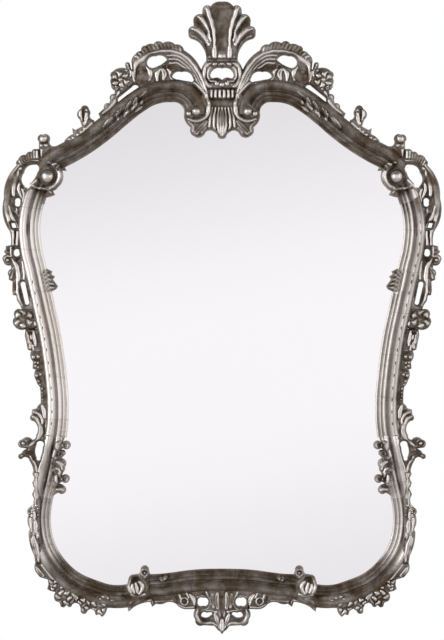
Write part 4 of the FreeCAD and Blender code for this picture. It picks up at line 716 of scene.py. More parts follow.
CARVINGS["foot_volute"] = dict(
    on_moulding=True, relief=30, round_px=2.4, toning=0.5, back=FRAME_BACK,
    clearings=((137.6, 588, 10), (144, 574, 4)),
    edge=((126.6, 585), (128, 580.4), (129.4, 577, 133.4, 575.4), (138.6, 574.6), (140.4, 571.6),
        (144.6, 566.2, 148.7, 571.2), (150, 575), (154, 577), (153, 602.6),
        (141.5, 604.2, 134, 607.6), (128.2, 612.4), (127, 606), (124, 598), (124, 587)),
    ribs=(
        (4, (131.6, 578.4, 1.3), (128.8, 582.6, 1.7), (129, 588.4, 1.7), (131.4, 592.6, 1.3)),
        (4.5, (132.6, 584.4, 1.3), (132.4, 588.6, 1.8), (134.6, 592.6, 1.4)),
        (4.5, (136, 583, 1.3), (136.8, 587.6, 1.9), (137.8, 592.2, 1.5)),
        (5, (139.4, 581.4, 1.4), (142, 585, 1.9), (142, 589.4, 1.8), (139.6, 593.4, 1.3)),
        (3, (132, 594.6, 1.2), (138, 596, 1.5), (144.4, 594, 1.3)),
        (2.5, (136.4, 597, 2), (131.8, 601.6, 1.8), (129.4, 608.4, 1.2)),
        (2.5, (151, 600, 1), (143, 600.4, 1.4), (136, 603.6, 1.2)),
    ),
    dips=((9, (133.4, 579.6, 2.4), (137.4, 578.8, 2.2)),),
    rings=((144.7, 572.2, 3.4, 1.4, 6),),
    balls=((145.2, 576.6, 1.9, 4), (144.9, 572.6, 1.2, 3)),
    shades=((135.4, 579, 4.6, 0.9), (137, 600, 8, 0.3), (144.6, 569.4, 2, 0.6),
        (145, 575.4, 3, -0.5), (131, 588, 3, -0.3), (137, 589, 3, -0.3), (151, 588, 5, 0.4)),
)
CARVINGS["foot_sprig"] = dict(
    relief=26, round_px=1.2, toning=0.5,
    edge=((158.6, 580), (160, 576.8, 163, 577.4), (166.4, 575.6, 167.4, 579.4), (163, 584)),
    balls=((161.2, 580.2, 1.7, 4), (164.8, 578.8, 1.8, 4)),
)
CARVINGS["apron_wing"] = dict(
    relief=25, round_px=2.4, toning=0.65,
    edge=((150, 602.8), (152, 607.6), (156, 604.4), (160, 605, 164.6, 604),
        (171, 602.8, 176.4, 605), (181, 608.8, 187, 610), (195.6, 609.8), (197.6, 602), (198, 586),
        (178, 586), (165, 590), (150, 593)),
    ribs=(
        (3, (151.4, 601.6, 1.3), (152, 606, 0.9)),
        (2, (156, 601.4, 1.2), (164, 601.2, 1.3), (172, 601, 1.4)),
        (3, (173.4, 602.6, 1.1), (179, 605.6, 1.4), (186, 607.9, 1.5), (193.6, 607.2, 1.2)),
        (3, (186.6, 593.6, 0.9), (188.6, 597.6, 1.1)),
        (3, (179.4, 594.8, 1), (180.4, 598.2, 1)),
    ),
    leaves=((4.5, (190, 594.6, 1.1), (193.4, 599, 2), (194.6, 604, 1.4)),),
    dips=((3, (176, 597, 1), (178, 602, 1.1)),),
    rings=((184.4, 601.2, 3.5, 1.2, 4),),
    balls=((184.4, 601.2, 1.3, 2),),
    shades=((162, 599, 11, 0.45), (184.4, 600.6, 2.4, 0.5), (193, 599, 3, -0.3)),
)
CARVINGS["apron"] = dict(
    whole=True, relief=26, round_px=2.6, toning=0.9,
    edge=((222, 586), (192.4, 586), (193.2, 600), (195.6, 609.6), (193.4, 614, 195.2, 620),
        (197, 625.4, 203, 626), (214.4, 626.6), (217.6, 630.6), (220.4, 632.6), (221.2, 634.4),
        (222, 634.4)),
    holes=(
        ((197.8, 602.4), (199, 598.8, 203, 598.6), (207.4, 599.6, 208.2, 603),
            (206.4, 606.4, 203, 606.4), (198.6, 606, 197.8, 602.4)),
        ((201.4, 615), (203.4, 612.8, 206.4, 613.4), (210.6, 612.8), (212, 614.6, 210.4, 616.2),
            (206.4, 618.4, 203.4, 618), (201.6, 617, 201.4, 615)),
    ),
    ribs=(
        (3, (206.4, 592, 1), (208.4, 597, 1.3), (210.4, 602, 0.9)),
        (3, (198, 597, 1), (203.2, 596.2, 1.2), (208, 598.6, 1)),
        (3, (210.2, 604, 1.1), (206.6, 608.4, 1.2), (200, 608.6, 1.1)),
        (4, (197.4, 609.4, 1.2), (196.8, 615, 1.8), (199, 620.8, 2), (205, 623.4, 1.8),
            (212.4, 622.6, 1.4), (216, 625.4, 1)),
        (2.5, (202, 611, 1), (207.6, 610.6, 1.2), (212.8, 611.2, 1)),
    ),
    leaves=(
        (2.6, (217.6, 593, 1), (216.4, 600, 2.2), (217.6, 608, 1.4)),
        (2.8, (212.4, 594, 1), (212, 600, 1.9), (213.4, 607, 1.2)),
        (3.5, (214.8, 614.4, 1.2), (216.8, 620, 1.8), (219.4, 627, 1.2)),
        (5, (222, 619, 1.2), (222, 626, 2.2), (222, 633, 1)),
    ),
    dips=(
        (3.5, (222, 597, 1.3), (222, 609, 1.8), (222, 618, 1.2)),
        (3, (200, 617.8, 0.8), (204, 619.8, 1), (210, 618.8, 0.9)),
    ),
    balls=((216, 611.8, 2, 3),),
    shades=((222, 606, 5, 0.6), (203, 622, 6, 0.6), (212, 624, 4, 0.4), (207, 590, 10, 0.5),
        (199, 609, 4, 0.5), (222, 627, 3, -0.3), (197, 614, 3, 0.4)),
)
# Two openings that neighbouring carvings share
SHOULDER_GAP_PX = (
    (33, 164.4), (38.6, 166.4, 37.6, 172.6), (34.6, 179, 30, 184), (26.4, 187.6, 23.6, 185.2),
    (21, 179.4, 23.6, 172.4), (27.6, 165.8, 33, 164.4),
)
CREST_SLOT_PX = (
    (118.8, 96.8), (132, 86), (136.4, 84.6, 137.4, 90.4), (123.4, 101.4),
    (119.2, 102, 118.8, 96.8),
)


def place(places_px, depths_mm):
    """Points on the object, from places in the picture and depths."""
    across = (places_px[:, 0] - CENTRE_PX) * PX
    up = (MIDDLE_PX - places_px[:, 1]) * PX
    return np.column_stack([across, -np.asarray(depths_mm) * MM, up])


def arc_places(start, middle, end):
    """Places along the arc through three of them, after its start."""
    (ax, az), (bx, bz), (cx, cz) = start, middle, end
    turn = 2 * (ax * (bz - cz) + bx * (cz - az) + cx * (az - bz))
    if abs(turn) < 1e-6:
        return straight_places(start, end)
    a, b, c = ax * ax + az * az, bx * bx + bz * bz, cx * cx + cz * cz
    centre_x = (a * (bz - cz) + b * (cz - az) + c * (az - bz)) / turn
    centre_z = (a * (cx - bx) + b * (ax - cx) + c * (bx - ax)) / turn
    radius = math.hypot(ax - centre_x, az - centre_z)
    first = math.atan2(az - centre_z, ax - centre_x)
    through = (math.atan2(bz - centre_z, bx - centre_x) - first) % math.tau
    sweep = (math.atan2(cz - centre_z, cx - centre_x) - first) % math.tau
    if through > sweep:
        sweep -= math.tau
    count = max(3, math.ceil(abs(sweep) * radius / PATH_STEP_PX))
    angles = [first + sweep * i / count for i in range(1, count + 1)]
    return [(centre_x + radius * math.cos(t), centre_z + radius * math.sin(t)) for t in angles]


def straight_places(start, end):
    """Places along a straight stretch, after its start."""
    count = max(1, math.ceil(math.dist(start, end) / PATH_STEP_PX))
    return [
        (start[0] + (end[0] - start[0]) * i / count, start[1] + (end[1] - start[1]) * i / count)
        for i in range(1, count + 1)
    ]


def outline(table_px):
    """An edge's places, close together, from its table."""
    places = [table_px[0]]
    for stretch in table_px[1:]:
        if len(stretch) == 4:
            places += arc_places(places[-1], stretch[:2], stretch[2:])
        else:
            places += straight_places(places[-1], stretch)
    return places


def closed(places, whole):
    """The places as a closed loop, with the other half added where the edge is a half one."""
    if whole and abs(places[0][0] - CENTRE_PX) < SAME_PX:
        places = places + [(2 * CENTRE_PX - x, z) for x, z in reversed(places[:-1])][:-1]
    elif math.dist(places[0], places[-1]) > SAME_PX:
        places = places + straight_places(places[-1], places[0])[:-1]
    else:
        places = places[:-1]
    return np.array(places)


def mirror_image(places):
    """The places on the other side of the centre line, in reverse order."""
    return np.column_stack([2 * CENTRE_PX - places[::-1, 0], places[::-1, 1]])


def loops_of(spec):
    """A carving's edge and its holes as closed loops."""
    whole = spec.get("whole", False)
    loops = [closed(outline(spec["edge"]), whole)]
    for hole in spec.get("holes", ()):
        hole = SHOULDER_GAP_PX if hole == "shoulder_gap" else hole
        loop = closed(outline(hole), whole)
        loops.append(loop)
        if whole and abs(hole[0][0] - CENTRE_PX) > SAME_PX:
            loops.append(mirror_image(loop))
    if spec.get("slot"):
        loops.append(closed(outline(CREST_SLOT_PX), False))
    return loops


def nearest(places, line):
    """How far each place lies from a line, and the line's numbers at the nearest spot."""
    steps = np.diff(line[:, :2], axis=0)
    squares = np.maximum((steps ** 2).sum(1), 1e-9)
    across = places[:, 0, None] - line[:-1, 0]
    down = places[:, 1, None] - line[:-1, 1]
    share = np.clip((across * steps[:, 0] + down * steps[:, 1]) / squares, 0, 1)
    gaps = np.hypot(across - share * steps[:, 0], down - share * steps[:, 1])
    pick = gaps.argmin(1)
    rows = np.arange(len(places))
    there = share[rows, pick][:, None]
    return gaps[rows, pick], line[pick] * (1 - there) + line[pick + 1] * there


def edge_gaps(places, loops):
    """How far each place lies from the nearest loop."""
    gaps = np.full(len(places), np.inf)
    for loop in loops:
        gaps = np.minimum(gaps, nearest(places, np.vstack([loop, loop[:1]]))[0])
    return gaps


def gaps_to(places, x, z):
    """How far each place lies from a spot."""
    return np.hypot(places[:, 0] - x, places[:, 1] - z)


def within(places, loop):
    """Which places lie inside a loop."""
    ends = np.roll(loop, -1, axis=0)
    above = loop[:, 1] > places[:, 1, None]
    crosses = above != (ends[:, 1] > places[:, 1, None])
    rise = np.where(ends[:, 1] == loop[:, 1], 1e-9, ends[:, 1] - loop[:, 1])
    at = loop[:, 0] + (places[:, 1, None] - loop[:, 1]) / rise * (ends[:, 0] - loop[:, 0])
    return (crosses & (places[:, 0, None] < at)).sum(1) % 2 == 1


def inside(places, loops):
    """Which places lie inside the first loop and outside the others, its holes."""
    kept = within(places, loops[0])
    for hole in loops[1:]:
        kept &= ~within(places, hole)
    return kept


def between(places, loops):
    """Which places lie between loops that don't cross, taking them from the outside in."""
    kept = np.zeros(len(places), bool)
    for loop in loops:
        kept ^= within(places, loop)
    return kept


def smooth_line(rows, step=LINE_STEP_PX):
    """Rows of numbers joined by a smooth line, close together."""
    rows = np.array([tuple(row) + (1.0,) * (4 - len(row)) for row in rows], float)
    knots = np.vstack([2 * rows[0] - rows[1], rows, 2 * rows[-1] - rows[-2]])
    pieces = []
    for a, b, c, d in zip(knots, knots[1:], knots[2:], knots[3:]):
        count = max(2, math.ceil(math.hypot(*(c - b)[:2]) / step))
        t = (np.arange(count) / count)[:, None]
        curve = (2 * a - 5 * b + 4 * c - d) * t ** 2 + (3 * b - a - 3 * c + d) * t ** 3
        pieces.append(0.5 * (2 * b + (c - a) * t + curve))
    return np.vstack(pieces + [rows[-1:]])


def along(line, count):
    """Evenly spread places on a line."""
    reach = np.concatenate([[0], np.cumsum(np.hypot(*np.diff(line[:, :2], axis=0).T))])
    marks = np.linspace(0, reach[-1], count + 2)[1:-1]
    return np.column_stack([np.interp(marks, reach, line[:, i]) for i in range(2)])


def fan_strokes(fan):
    """Strokes that run from one line across to another."""
    kind, lift, count, near_half, far_half, *lines = fan
    near, far = (along(smooth_line([row + (1.0,) for row in line]), count) for line in lines)
    return [(kind, lift, (*a, near_half), (*b, far_half)) for a, b in zip(near, far)]


def quarter_round(share):
    """A rise that starts steep and ends level."""
    return np.sqrt(1 - (1 - np.clip(share, 0, 1)) ** 2)


def rib_section(share):
    """A plain rounded ridge that runs out into the ground beside it."""
    return (1 - np.minimum(share, 1) ** 2) ** RIB_ROUND


def leaf_section(share):
    """A ridge with a vein sunk down its middle."""
    return rib_section(share) * (1 - VEIN_DEPTH * np.exp(-(share / VEIN_HALF) ** 2))


def soft_section(share):
    """A rise or a hollow without an edge."""
    return np.cos(np.minimum(share, 1) * math.pi / 2) ** 2


def ball_section(share):
    """The upper part of a ball."""
    return (1 - np.minimum(share, 1) ** 2) ** BALL_ROUND


STROKE_KINDS = ("ribs", "leaves", "dips", "swells")
RAISED_SECTIONS = {"ribs": rib_section, "leaves": leaf_section}


def flower_share(places, flower):
    """How far a flower's petals and its eye stand up, as a share of its lift."""
    x, z, radius, count, turn = flower
    turn_across, turn_down = FLOWER_WOBBLE_TURNS
    across = places[:, 0] - x + FLOWER_WOBBLE_PX * np.sin(places[:, 1] * turn_across + x)
    down = places[:, 1] - z + FLOWER_WOBBLE_PX * np.sin(places[:, 0] * turn_down + z)
    reach = np.hypot(across, down) / radius
    petal = abs(np.cos((np.arctan2(down, across) - turn) * count / 2))
    tip = PETAL_NOTCH + (1 - PETAL_NOTCH) * petal ** PETAL_POINT
    share = np.clip(reach / tip, 0, 1)
    cup = petal ** PETAL_ROUND * np.sin(math.pi * share ** CUP_PLACE) ** CUP_ROUND
    eye = ball_section(reach / EYE_SHARE)
    return np.maximum(cup, eye) * (reach < 1), reach


def hand_wobble(places):
    """The places a little out of true, as the gouge leaves them."""
    slow = np.sin(places[:, ::-1] * WOBBLE_TURN + places * WOBBLE_DRIFT)
    return places + WOBBLE_PX * slow


def carved_depths(spec, places, loops, sizes):
    """How far in front of the wall a carving stands, how much of that is the gouge's, and how
    near its edge each place is. The last value is how far the place lies over a moulding.
    """
    ground = FRAME_BACK + spec["relief"]
    back = spec.get("back", CARVING_BACK)
    rim = back + RIM_SHARE * (ground - back)
    edge_gap = edge_gaps(places, loops)
    base = rim + (ground - rim) * quarter_round(edge_gap / spec["round_px"])
    folded = folded_places(spec, places)
    over = np.zeros(len(places))
    if spec.get("on_moulding"):
        under, share, _ = moulding_under(folded, sizes)
        over = np.clip(share / SIGHT_BLEND, 0, 1) * np.clip((1 - share) / OUTER_BLEND, 0, 1)
        for x, z, radius in spec.get("clearings", ()):
            over *= np.clip((gaps_to(folded, x, z) - radius) / CLEARING_BLEND_PX, 0, 1)
        base = base * (1 - over) + (under + MOULDING_LIFT) * over
    folded = hand_wobble(folded)
    swelled, raised, ditch, dipped = np.zeros((4, len(places)))

    def raise_up(where, gap, half, rise, section):
        raised[where] = np.maximum(raised[where], rise * section(gap / half))
        cut = DITCH_SHARE * rise * np.exp(-((gap - half) / DITCH_PX) ** 2)
        ditch[where] = np.maximum(ditch[where], cut)

    strokes = [(kind, *stroke) for kind in STROKE_KINDS for stroke in spec.get(kind, ())]
    for fan in spec.get("fans", ()):
        strokes += fan_strokes(fan)
    for kind, lift, *rows in strokes:
        line = smooth_line(rows)
        reach = line[:, 2].max() * DIP_REACH + DITCHES_AWAY * DITCH_PX
        low, high = line[:, :2].min(0) - reach, line[:, :2].max(0) + reach
        near = np.flatnonzero(((folded > low) & (folded < high)).all(1))
        if not len(near):
            continue
        gap, at = nearest(folded[near], line)
        half, rise = at[:, 2], lift * at[:, 3]
        if kind in RAISED_SECTIONS:
            raise_up(near, gap, half * STROKE_REACH, rise, RAISED_SECTIONS[kind])
            continue
        change = rise * soft_section(gap / half / DIP_REACH)
        if kind == "dips":
            dipped[near] = np.maximum(dipped[near], change)
        else:
            swelled[near] += change
    everywhere = np.arange(len(places))
    for x, z, radius, lift in spec.get("balls", ()):
        raise_up(everywhere, gaps_to(folded, x, z), radius, lift, ball_section)
    for x, z, radius, half, lift in spec.get("rings", ()):
        raise_up(everywhere, abs(gaps_to(folded, x, z) - radius), half, lift, rib_section)
    for flower in spec.get("flowers", ()):
        share, reach = flower_share(folded, flower)
        raised = np.where(reach < 1, FLOWER_LIFT * share, raised)
        ditch = np.where(reach < 1, PETAL_GAP * (1 - share), ditch)
    rounding = np.maximum(quarter_round(edge_gap / EDGE_ROUND_PX), over)
    cut = swelled - dipped + raised - ditch * np.exp(-raised)
    stands = np.maximum(base + cut, rim)
    return np.minimum(rim + (stands - rim) * rounding, HIGHEST), cut, edge_gap, over


def folded_places(spec, places):
    """The places, with those of a whole carving's right half laid over its left one."""
    folded = places.copy()
    if spec.get("whole"):
        folded[:, 0] = CENTRE_PX - abs(places[:, 0] - CENTRE_PX)
    return folded


def shade_of(spec, places):
    """How much browner the toning is at each place, and brighter where this is below zero: painted
    shade and painted highlights, with some of the toning's own unevenness.
    """
    folded = folded_places(spec, places)
    shade = np.zeros(len(places))
    for x, z, radius, amount in spec.get("shades", ()):
        shade += amount * np.exp(-(gaps_to(folded, x, z) / radius) ** 2)
    return shade


def triangulated(loops, spacing):
    """Triangles that fill the loops, from points on them and an even grid between them."""
    kept = inside if spacing else between
    lines = []
    first = 0
    for loop in loops:
        lines += [(first + i, first + (i + 1) % len(loop)) for i in range(len(loop))]
        first += len(loop)
    points = np.vstack(loops)
    if spacing:
        low, high = loops[0].min(0), loops[0].max(0)
        row_gap = spacing * math.sqrt(3) / 2
        rows = []
        for i in range(math.ceil((high[1] - low[1]) / row_gap)):
            across = np.arange(low[0] + spacing / 2 * (i % 2), high[0], spacing)
            rows.append(np.column_stack([across, np.full(len(across), low[1] + i * row_gap)]))
        grid = np.vstack(rows)
        grid = grid[kept(grid, loops)]
        points = np.vstack([points, grid[edge_gaps(grid, loops) > spacing * GRID_MARGIN]])
    made = geometry.delaunay_2d_cdt([Vector(p) for p in points], lines, [], 0, 1e-5, True)
    spots = np.array([tuple(v) for v in made[0]])
    faces = np.array([face for face in made[2] if len(face) == 3])
    faces = faces[kept(spots[faces].mean(1), loops)]
    return spots, faces, [origins[0] if origins else -1 for origins in made[3]]


def averaged(values, faces, rounds):
    """Values spread over the triangles' neighbours."""
    pairs = np.vstack([faces[:, (0, 1)], faces[:, (1, 2)], faces[:, (2, 0)]])
    ends = np.concatenate([pairs[:, 0], pairs[:, 1]])
    others = np.concatenate([pairs[:, 1], pairs[:, 0]])
    counts = np.maximum(np.bincount(ends, minlength=len(values)), 1)
    for _ in range(rounds):
        values = np.bincount(ends, values[others], len(values)) / counts
    return values


def new_piece(name, points, faces, marks, material, sharp):
    """A piece of the frame, with the marks that its toning follows."""
    mesh = bpy.data.meshes.new(name)
    mesh.from_pydata(points.tolist(), [], faces)
    for mark, values in marks.items():
        mesh.attributes.new(mark, "FLOAT", "POINT").data.foreach_set("value", values)
    built = bmesh.new()
    built.from_mesh(mesh)
    bmesh.ops.recalc_face_normals(built, faces=built.faces)
    built.to_mesh(mesh)
    built.free()
    mesh.shade_smooth()
    mesh.set_sharp_from_angle(angle=sharp)
    mesh.materials.append(material)
    piece = bpy.data.objects.new(name, mesh)
    bpy.context.scene.collection.objects.link(piece)
    return piece


def settle(piece, node):
    """Makes a piece ride on the frame in the place of the node that it stands for."""
    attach(piece, BODY)
    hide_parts(node)


def add_sided(node, whole, points, faces, marks, material, sharp, right_more=None):
    """The piece on the left, and its mirror image on the right where it isn't a whole one.
    What right_more names is darker on the right by that much.
    """
    if whole:
        settle(new_piece("carved_" + node, points, faces, marks, material, sharp), node)
        return
    other = points * np.array([-1, 1, 1])
    for side, spots, more in (("_left", points, {}), ("_right", other, right_more or {})):
        sided = {name: np.clip(mark + more.get(name, 0), 0, 1) for name, mark in marks.items()}
        piece = new_piece("carved_" + node + side, spots, faces, sided, material, sharp)
        settle(piece, node + side)


def carved_toning_and_shade(spec, spots, faces, cut, edge_gap, over, sizes):
    """How hollow and how toned a carving is at each place: glaze that is partly painted shade in
    its recesses, ridges left bright partly as painted highlights, painted shade along its edge, and
    the spots of painted shade and highlight.
    """
    near = averaged(cut, faces, NEAR_ROUNDS)
    lower = NEAR_SHARE * near + (1 - NEAR_SHARE) * averaged(near, faces, FAR_ROUNDS)
    shade = shade_of(spec, spots)
    hollow_and_shade = np.full(len(spots), CARVED_HOLLOW)
    tone = np.full(len(spots), LEAST_TONE + TONE_SPAN * spec["toning"])
    if over.any():
        _, share, way = moulding_under(folded_places(spec, spots), sizes)
        hollow_and_shade_under, tone_under = moulding_toning_and_shade(share, way, STILE_TONE)
        hollow_and_shade += (hollow_and_shade_under - hollow_and_shade) * over
        tone += (tone_under + head_tone(spots[:, 1]) - tone) * over
    # The recesses are browned partly as real glaze and partly as painted shade, the ridges kept
    # bright partly as painted highlights, and the spots add painted shade and highlight
    hollow_and_shade += (lower - cut) / HOLLOW_DEPTH + SHADE_HOLLOW * shade
    # The edge is browned as painted shade where the carving rounds down to the wall
    painted_edge_shade = EDGE_PAINTED_SHADE * np.exp(-(edge_gap / EDGE_SHADE_PX) ** 2) * (1 - over)
    hollow_and_shade = np.maximum(np.clip(hollow_and_shade, 0, 1), painted_edge_shade)
    return hollow_and_shade, np.clip(tone + SHADE_TONE * shade, 0, 1) * sizes.toning


def carve(node, context):
    """Carves one ornament from its tables, with walls round its edges and a flat back."""
    spec = CARVINGS[node]
    sizes = context.scene.mirror_sizes
    loops = loops_of(spec)
    spots, faces, _ = triangulated(loops, GRID_PX)
    depths, cut, edge_gap, over = carved_depths(spec, spots, loops, sizes)
    hollow_and_shade, tone = carved_toning_and_shade(spec, spots, faces, cut, edge_gap, over, sizes)
    count = len(spots)
    faces = faces.tolist()
    directed = dict.fromkeys(
        pair for a, b, c in faces for pair in ((a, b), (b, c), (c, a)))
    rim_edges = [pair for pair in directed if (pair[1], pair[0]) not in directed]
    rim = sorted({i for pair in rim_edges for i in pair})
    below = {spot: count + i for i, spot in enumerate(rim)}
    walls = [(b, a, below[a], below[b]) for a, b in rim_edges]
    runs = chains(rim_edges)
    _, back_faces, origins = triangulated([spots[run] for run in runs], 0)
    ring = [i for run in runs for i in run]
    backing = [tuple(below[ring[origins[i]]] for i in face) for face in back_faces.tolist()]
    over_glass = inside(spots[rim], [glass_edge()])
    back = spec.get("back", CARVING_BACK) + BACK_STEP * list(CARVINGS).index(node)
    rear = np.where(over_glass, FRAME_BACK + REBATE_DEPTH + GLASS_PLAY, back)
    points = np.vstack([place(spots, depths), place(spots[rim], rear)])
    marks = {
        "hollow_and_shade": np.concatenate([hollow_and_shade, np.full(len(rim), BACK_HOLLOW)]),
        "toned_and_shaded": np.concatenate([tone, np.full(len(rim), BACK_TONE)]),
        "bare": np.repeat([0.0, 1.0], [count, len(rim)]),
    }
    whole = spec.get("whole")
    add_sided(node, whole, points, faces + walls + backing, marks, leaf_material(), CARVED_CREASE)


def chains(edges):
    """Closed runs of points from their directed edges."""
    after = {}
    for start, end in edges:
        after.setdefault(start, []).append(end)
    runs = []
    while after:
        start = next(iter(after))
        run = []
        here = start
        while not run or here != start:
            run.append(here)
            ends = after[here]
            step = ends.pop()
            if not ends:
                del after[here]
            here = step
        runs.append(run)
    return runs


def mirrored_direction(direction, step):
    """The direction at the other end of an arc that leaves a chord in this direction."""
    chord = step / math.hypot(*step)
    turned = 2 * direction.dot(chord) * chord - direction
    return turned / math.hypot(*turned)


def directions_of(points):
    """Unit directions of a smooth line through the points."""
    steps = np.diff(points, axis=0)
    lengths = np.hypot(*steps.T)[:, None]
    inner = steps[:-1] * (lengths[1:] / lengths[:-1]) + steps[1:] * (lengths[:-1] / lengths[1:])
    inner = inner / np.hypot(*inner.T)[:, None]
    first = mirrored_direction(inner[0], steps[0])
    last = mirrored_direction(inner[-1], steps[-1])
    return np.vstack([first, inner, last])


def arc_run(start, direction, end, step):
    """Rows of place and direction along the arc that leaves the start in a direction."""
    chord = end - start
    length = math.hypot(*chord)
    turn = math.atan2(direction[0] * chord[1] - direction[1] * chord[0], direction.dot(chord))
    count = max(1, math.ceil(length / step))
    rows = []
    for i in range(count):
        share = i / count
        half = turn * share
        reach = length * share if abs(turn) < 1e-5 else length * math.sin(half) / math.sin(turn)
        x = direction[0] * math.cos(half) - direction[1] * math.sin(half)
        z = direction[0] * math.sin(half) + direction[1] * math.cos(half)
        spot = start + np.array([x, z]) * reach
        x = direction[0] * math.cos(2 * half) - direction[1] * math.sin(2 * half)
        z = direction[0] * math.sin(2 * half) + direction[1] * math.cos(2 * half)
        rows.append((spot[0], spot[1], x, z))
    return rows


def sight_run(table_px, step):
    """Rows of place and direction along a length of sight line, as two arcs from each point on."""
    points = np.array(table_px, float)
    directions = directions_of(points)
    if points[-1][0] == CENTRE_PX:
        directions[-1] = (1, 0)
    if points[0][0] == CENTRE_PX:
        directions[0] = (-1, 0)
    rows = []
    for start, end, leave, arrive in zip(points, points[1:], directions, directions[1:]):
        chord = end - start
        bend = 2 * (1 - leave.dot(arrive))
        lead = chord.dot(leave + arrive)
        if bend < 1e-6:
            reach = math.hypot(*chord) / 2
        else:
            reach = (math.sqrt(lead * lead + bend * chord.dot(chord)) - lead) / bend
        meet = (start + end + (leave - arrive) * reach) / 2
        rows += arc_run(start, leave, meet, step)
        rows += arc_run(meet, mirrored_direction(arrive, end - meet), end, step)
    rows.append((points[-1][0], points[-1][1], directions[-1][0], directions[-1][1]))
    return np.array(rows)


def outward(run):
    """Away from the glass, across and down the picture, for a run from the crest to the foot."""
    return np.column_stack([-run[:, 3], run[:, 2]])


def half_run(step):
    """The whole sight line of the left half, from the crest to the foot."""
    table = CREST_SPAN_PX + TOP_RAIL_PX[2:] + SHOULDER_SPAN_PX + STILE_PX + WAIST_SPAN_PX
    return sight_run(table + LOWER_CORNER_PX + FOOT_SPAN_PX + BOTTOM_RAIL_PX, step)


def glass_edge():
    """The edge of the rebate that the glass lies in, as a loop in the picture."""
    run = half_run(GLASS_STEP_PX)
    half = run[:, :2] + outward(run) * (REBATE_WIDTH / MM_PER_PX)
    return np.vstack([half, mirror_image(half)[1:-1]])


def moulding_face():
    """The moulding's face from the sight edge outwards, as shares of its width and height."""
    return smooth_line([row + (0.0,) for row in SECTION_SHARES], FACE_STEP_SHARE)[:, :2]


def moulding_under(places, sizes):
    """The moulding's face under each place: its depth, the share across it and the way out."""
    face = moulding_face()
    spot = nearest(places, half_run(UNDER_STEP_PX))[1]
    way = outward(spot)
    share = ((places - spot[:, :2]) * way).sum(1) * PX / sizes.moulding_width
    rise = np.interp(share, face[:, 0], face[:, 1]) * sizes.moulding_height / MM
    return FRAME_BACK + rise, share, way


def moulding_toning_and_shade(share, way, tone):
    """How hollow and how toned a moulding is, from the share across it and the way it faces. A
    length that runs level is toned darker than one that runs down, as painted shade.
    """
    lines = sum(
        amount * np.exp(-((share - at) / half) ** 2) for at, half, amount in TONED_LINES_SHARES
    )
    # Painted shade: a length that runs level is toned darker than one that runs down
    painted_level_shade = np.clip((abs(way[..., 1]) - LEVEL_FROM) / LEVEL_SPAN, 0, 1)
    painted_level_shade = painted_level_shade * painted_level_shade * (3 - 2 * painted_level_shade)
    flat = STILE_HOLLOW + (LEVEL_SHADE_HOLLOW - STILE_HOLLOW) * np.maximum(painted_level_shade, tone)
    return np.clip(flat + lines, 0, 1), np.maximum(painted_level_shade * RAIL_PAINTED_SHADE, tone)


def run_moulding(node, table_px, context, step, tone, pits=False, whole=False):
    """Runs one length of moulding along its sight line."""
    sizes = context.scene.mirror_sizes
    width = sizes.moulding_width / MM
    height = sizes.moulding_height / MM
    run = sight_run(table_px, step)
    if whole:
        other = run[-2::-1, 2:] * (1, -1)
        run = np.vstack([run, np.hstack([mirror_image(run[:-1]), other])])
    across = outward(run)
    face = moulding_face()
    sides = np.array([
        (1.0, 0.0), (REBATE_WIDTH / width, 0.0), (REBATE_WIDTH / width, REBATE_DEPTH / height),
        (0.0, REBATE_DEPTH / height),
    ])
    section = np.vstack([face, sides])
    reach = section[:, 0] * width / MM_PER_PX
    spots = run[:, None, :2] + across[:, None, :] * reach[:, None]
    depths = np.tile(FRAME_BACK + section[:, 1] * height, (len(run), 1))
    hollow_and_shade, toned_and_shaded = moulding_toning_and_shade(section[:, 0], across[:, None], tone)
    right_more = {}
    if pits:
        dents = pitted(spots, reach, PITS_DOWN_PX, 1)
        dents[:, len(face):] = 0
        depths -= PIT_DEPTH * dents
        hollow_and_shade = np.maximum(hollow_and_shade, np.clip(PIT_HOLLOW * dents, 0, 1))
        channel = np.exp(-((section[:, 0] - PIT_PLACE_SHARE) / CHANNEL_HALF_SHARE) ** 2)
        stains = pitted(spots, reach, RIGHT_PITS_DOWN_PX + PITS_DOWN_PX, STAIN_GROWTH)
        more = CHANNEL_HOLLOW * channel + STAIN_HOLLOW * stains
        # The whole right stile is toned darker, as painted shade
        right_more = {"toned_and_shaded": RIGHT_STILE_PAINTED_SHADE, "hollow_and_shade": more.reshape(-1)}
    # Painted shadow of the rose and the husks on the outer slope, and the dark head of the stile
    toned_and_shaded = np.clip(toned_and_shaded + outer_shadow_and_head_tone(spots, section), 0, 1) * sizes.toning
    if node == "lower_corner":
        outer, down = np.array(LOWER_TRIM_PX).T
        trim = np.interp(spots[:, :, 1], down, outer)
        spots[:, :, 0] = np.maximum(spots[:, :, 0], trim)
    hollow_and_shade[:, len(face):] = REBATE_HOLLOW
    bare = np.repeat([0.0, 1.0], [len(face), len(sides)])
    count = len(section)
    faces = [
        (i + j, i + (j + 1) % count, i + count + (j + 1) % count, i + count + j)
        for i in range(0, (len(run) - 1) * count, count) for j in range(count)
    ]
    last = (len(run) - 1) * count
    faces += [tuple(range(count)), tuple(range(last, last + count))]
    points = place(spots.reshape(-1, 2), depths.reshape(-1))
    marks = {
        "hollow_and_shade": hollow_and_shade.reshape(-1), "toned_and_shaded": toned_and_shaded.reshape(-1), "bare": np.tile(bare, len(run)),
    }
    add_sided(node, whole, points, faces, marks, leaf_material(), MOULDED_CREASE, right_more)


def pitted(spots, reach, downs, growth):
    """How deep in a punched pit each place on the moulding lies."""
    out = (reach - PIT_PLACE_SHARE * reach.max()) / (PIT_WIDE_PX * growth)
    deepest = np.zeros(spots.shape[:2])
    for down in downs:
        middle = (spots[:, :, 1] - down) / (PIT_LONG_PX * growth)
        deepest = np.maximum(deepest, 1 - middle ** 2 - out ** 2)
    return deepest


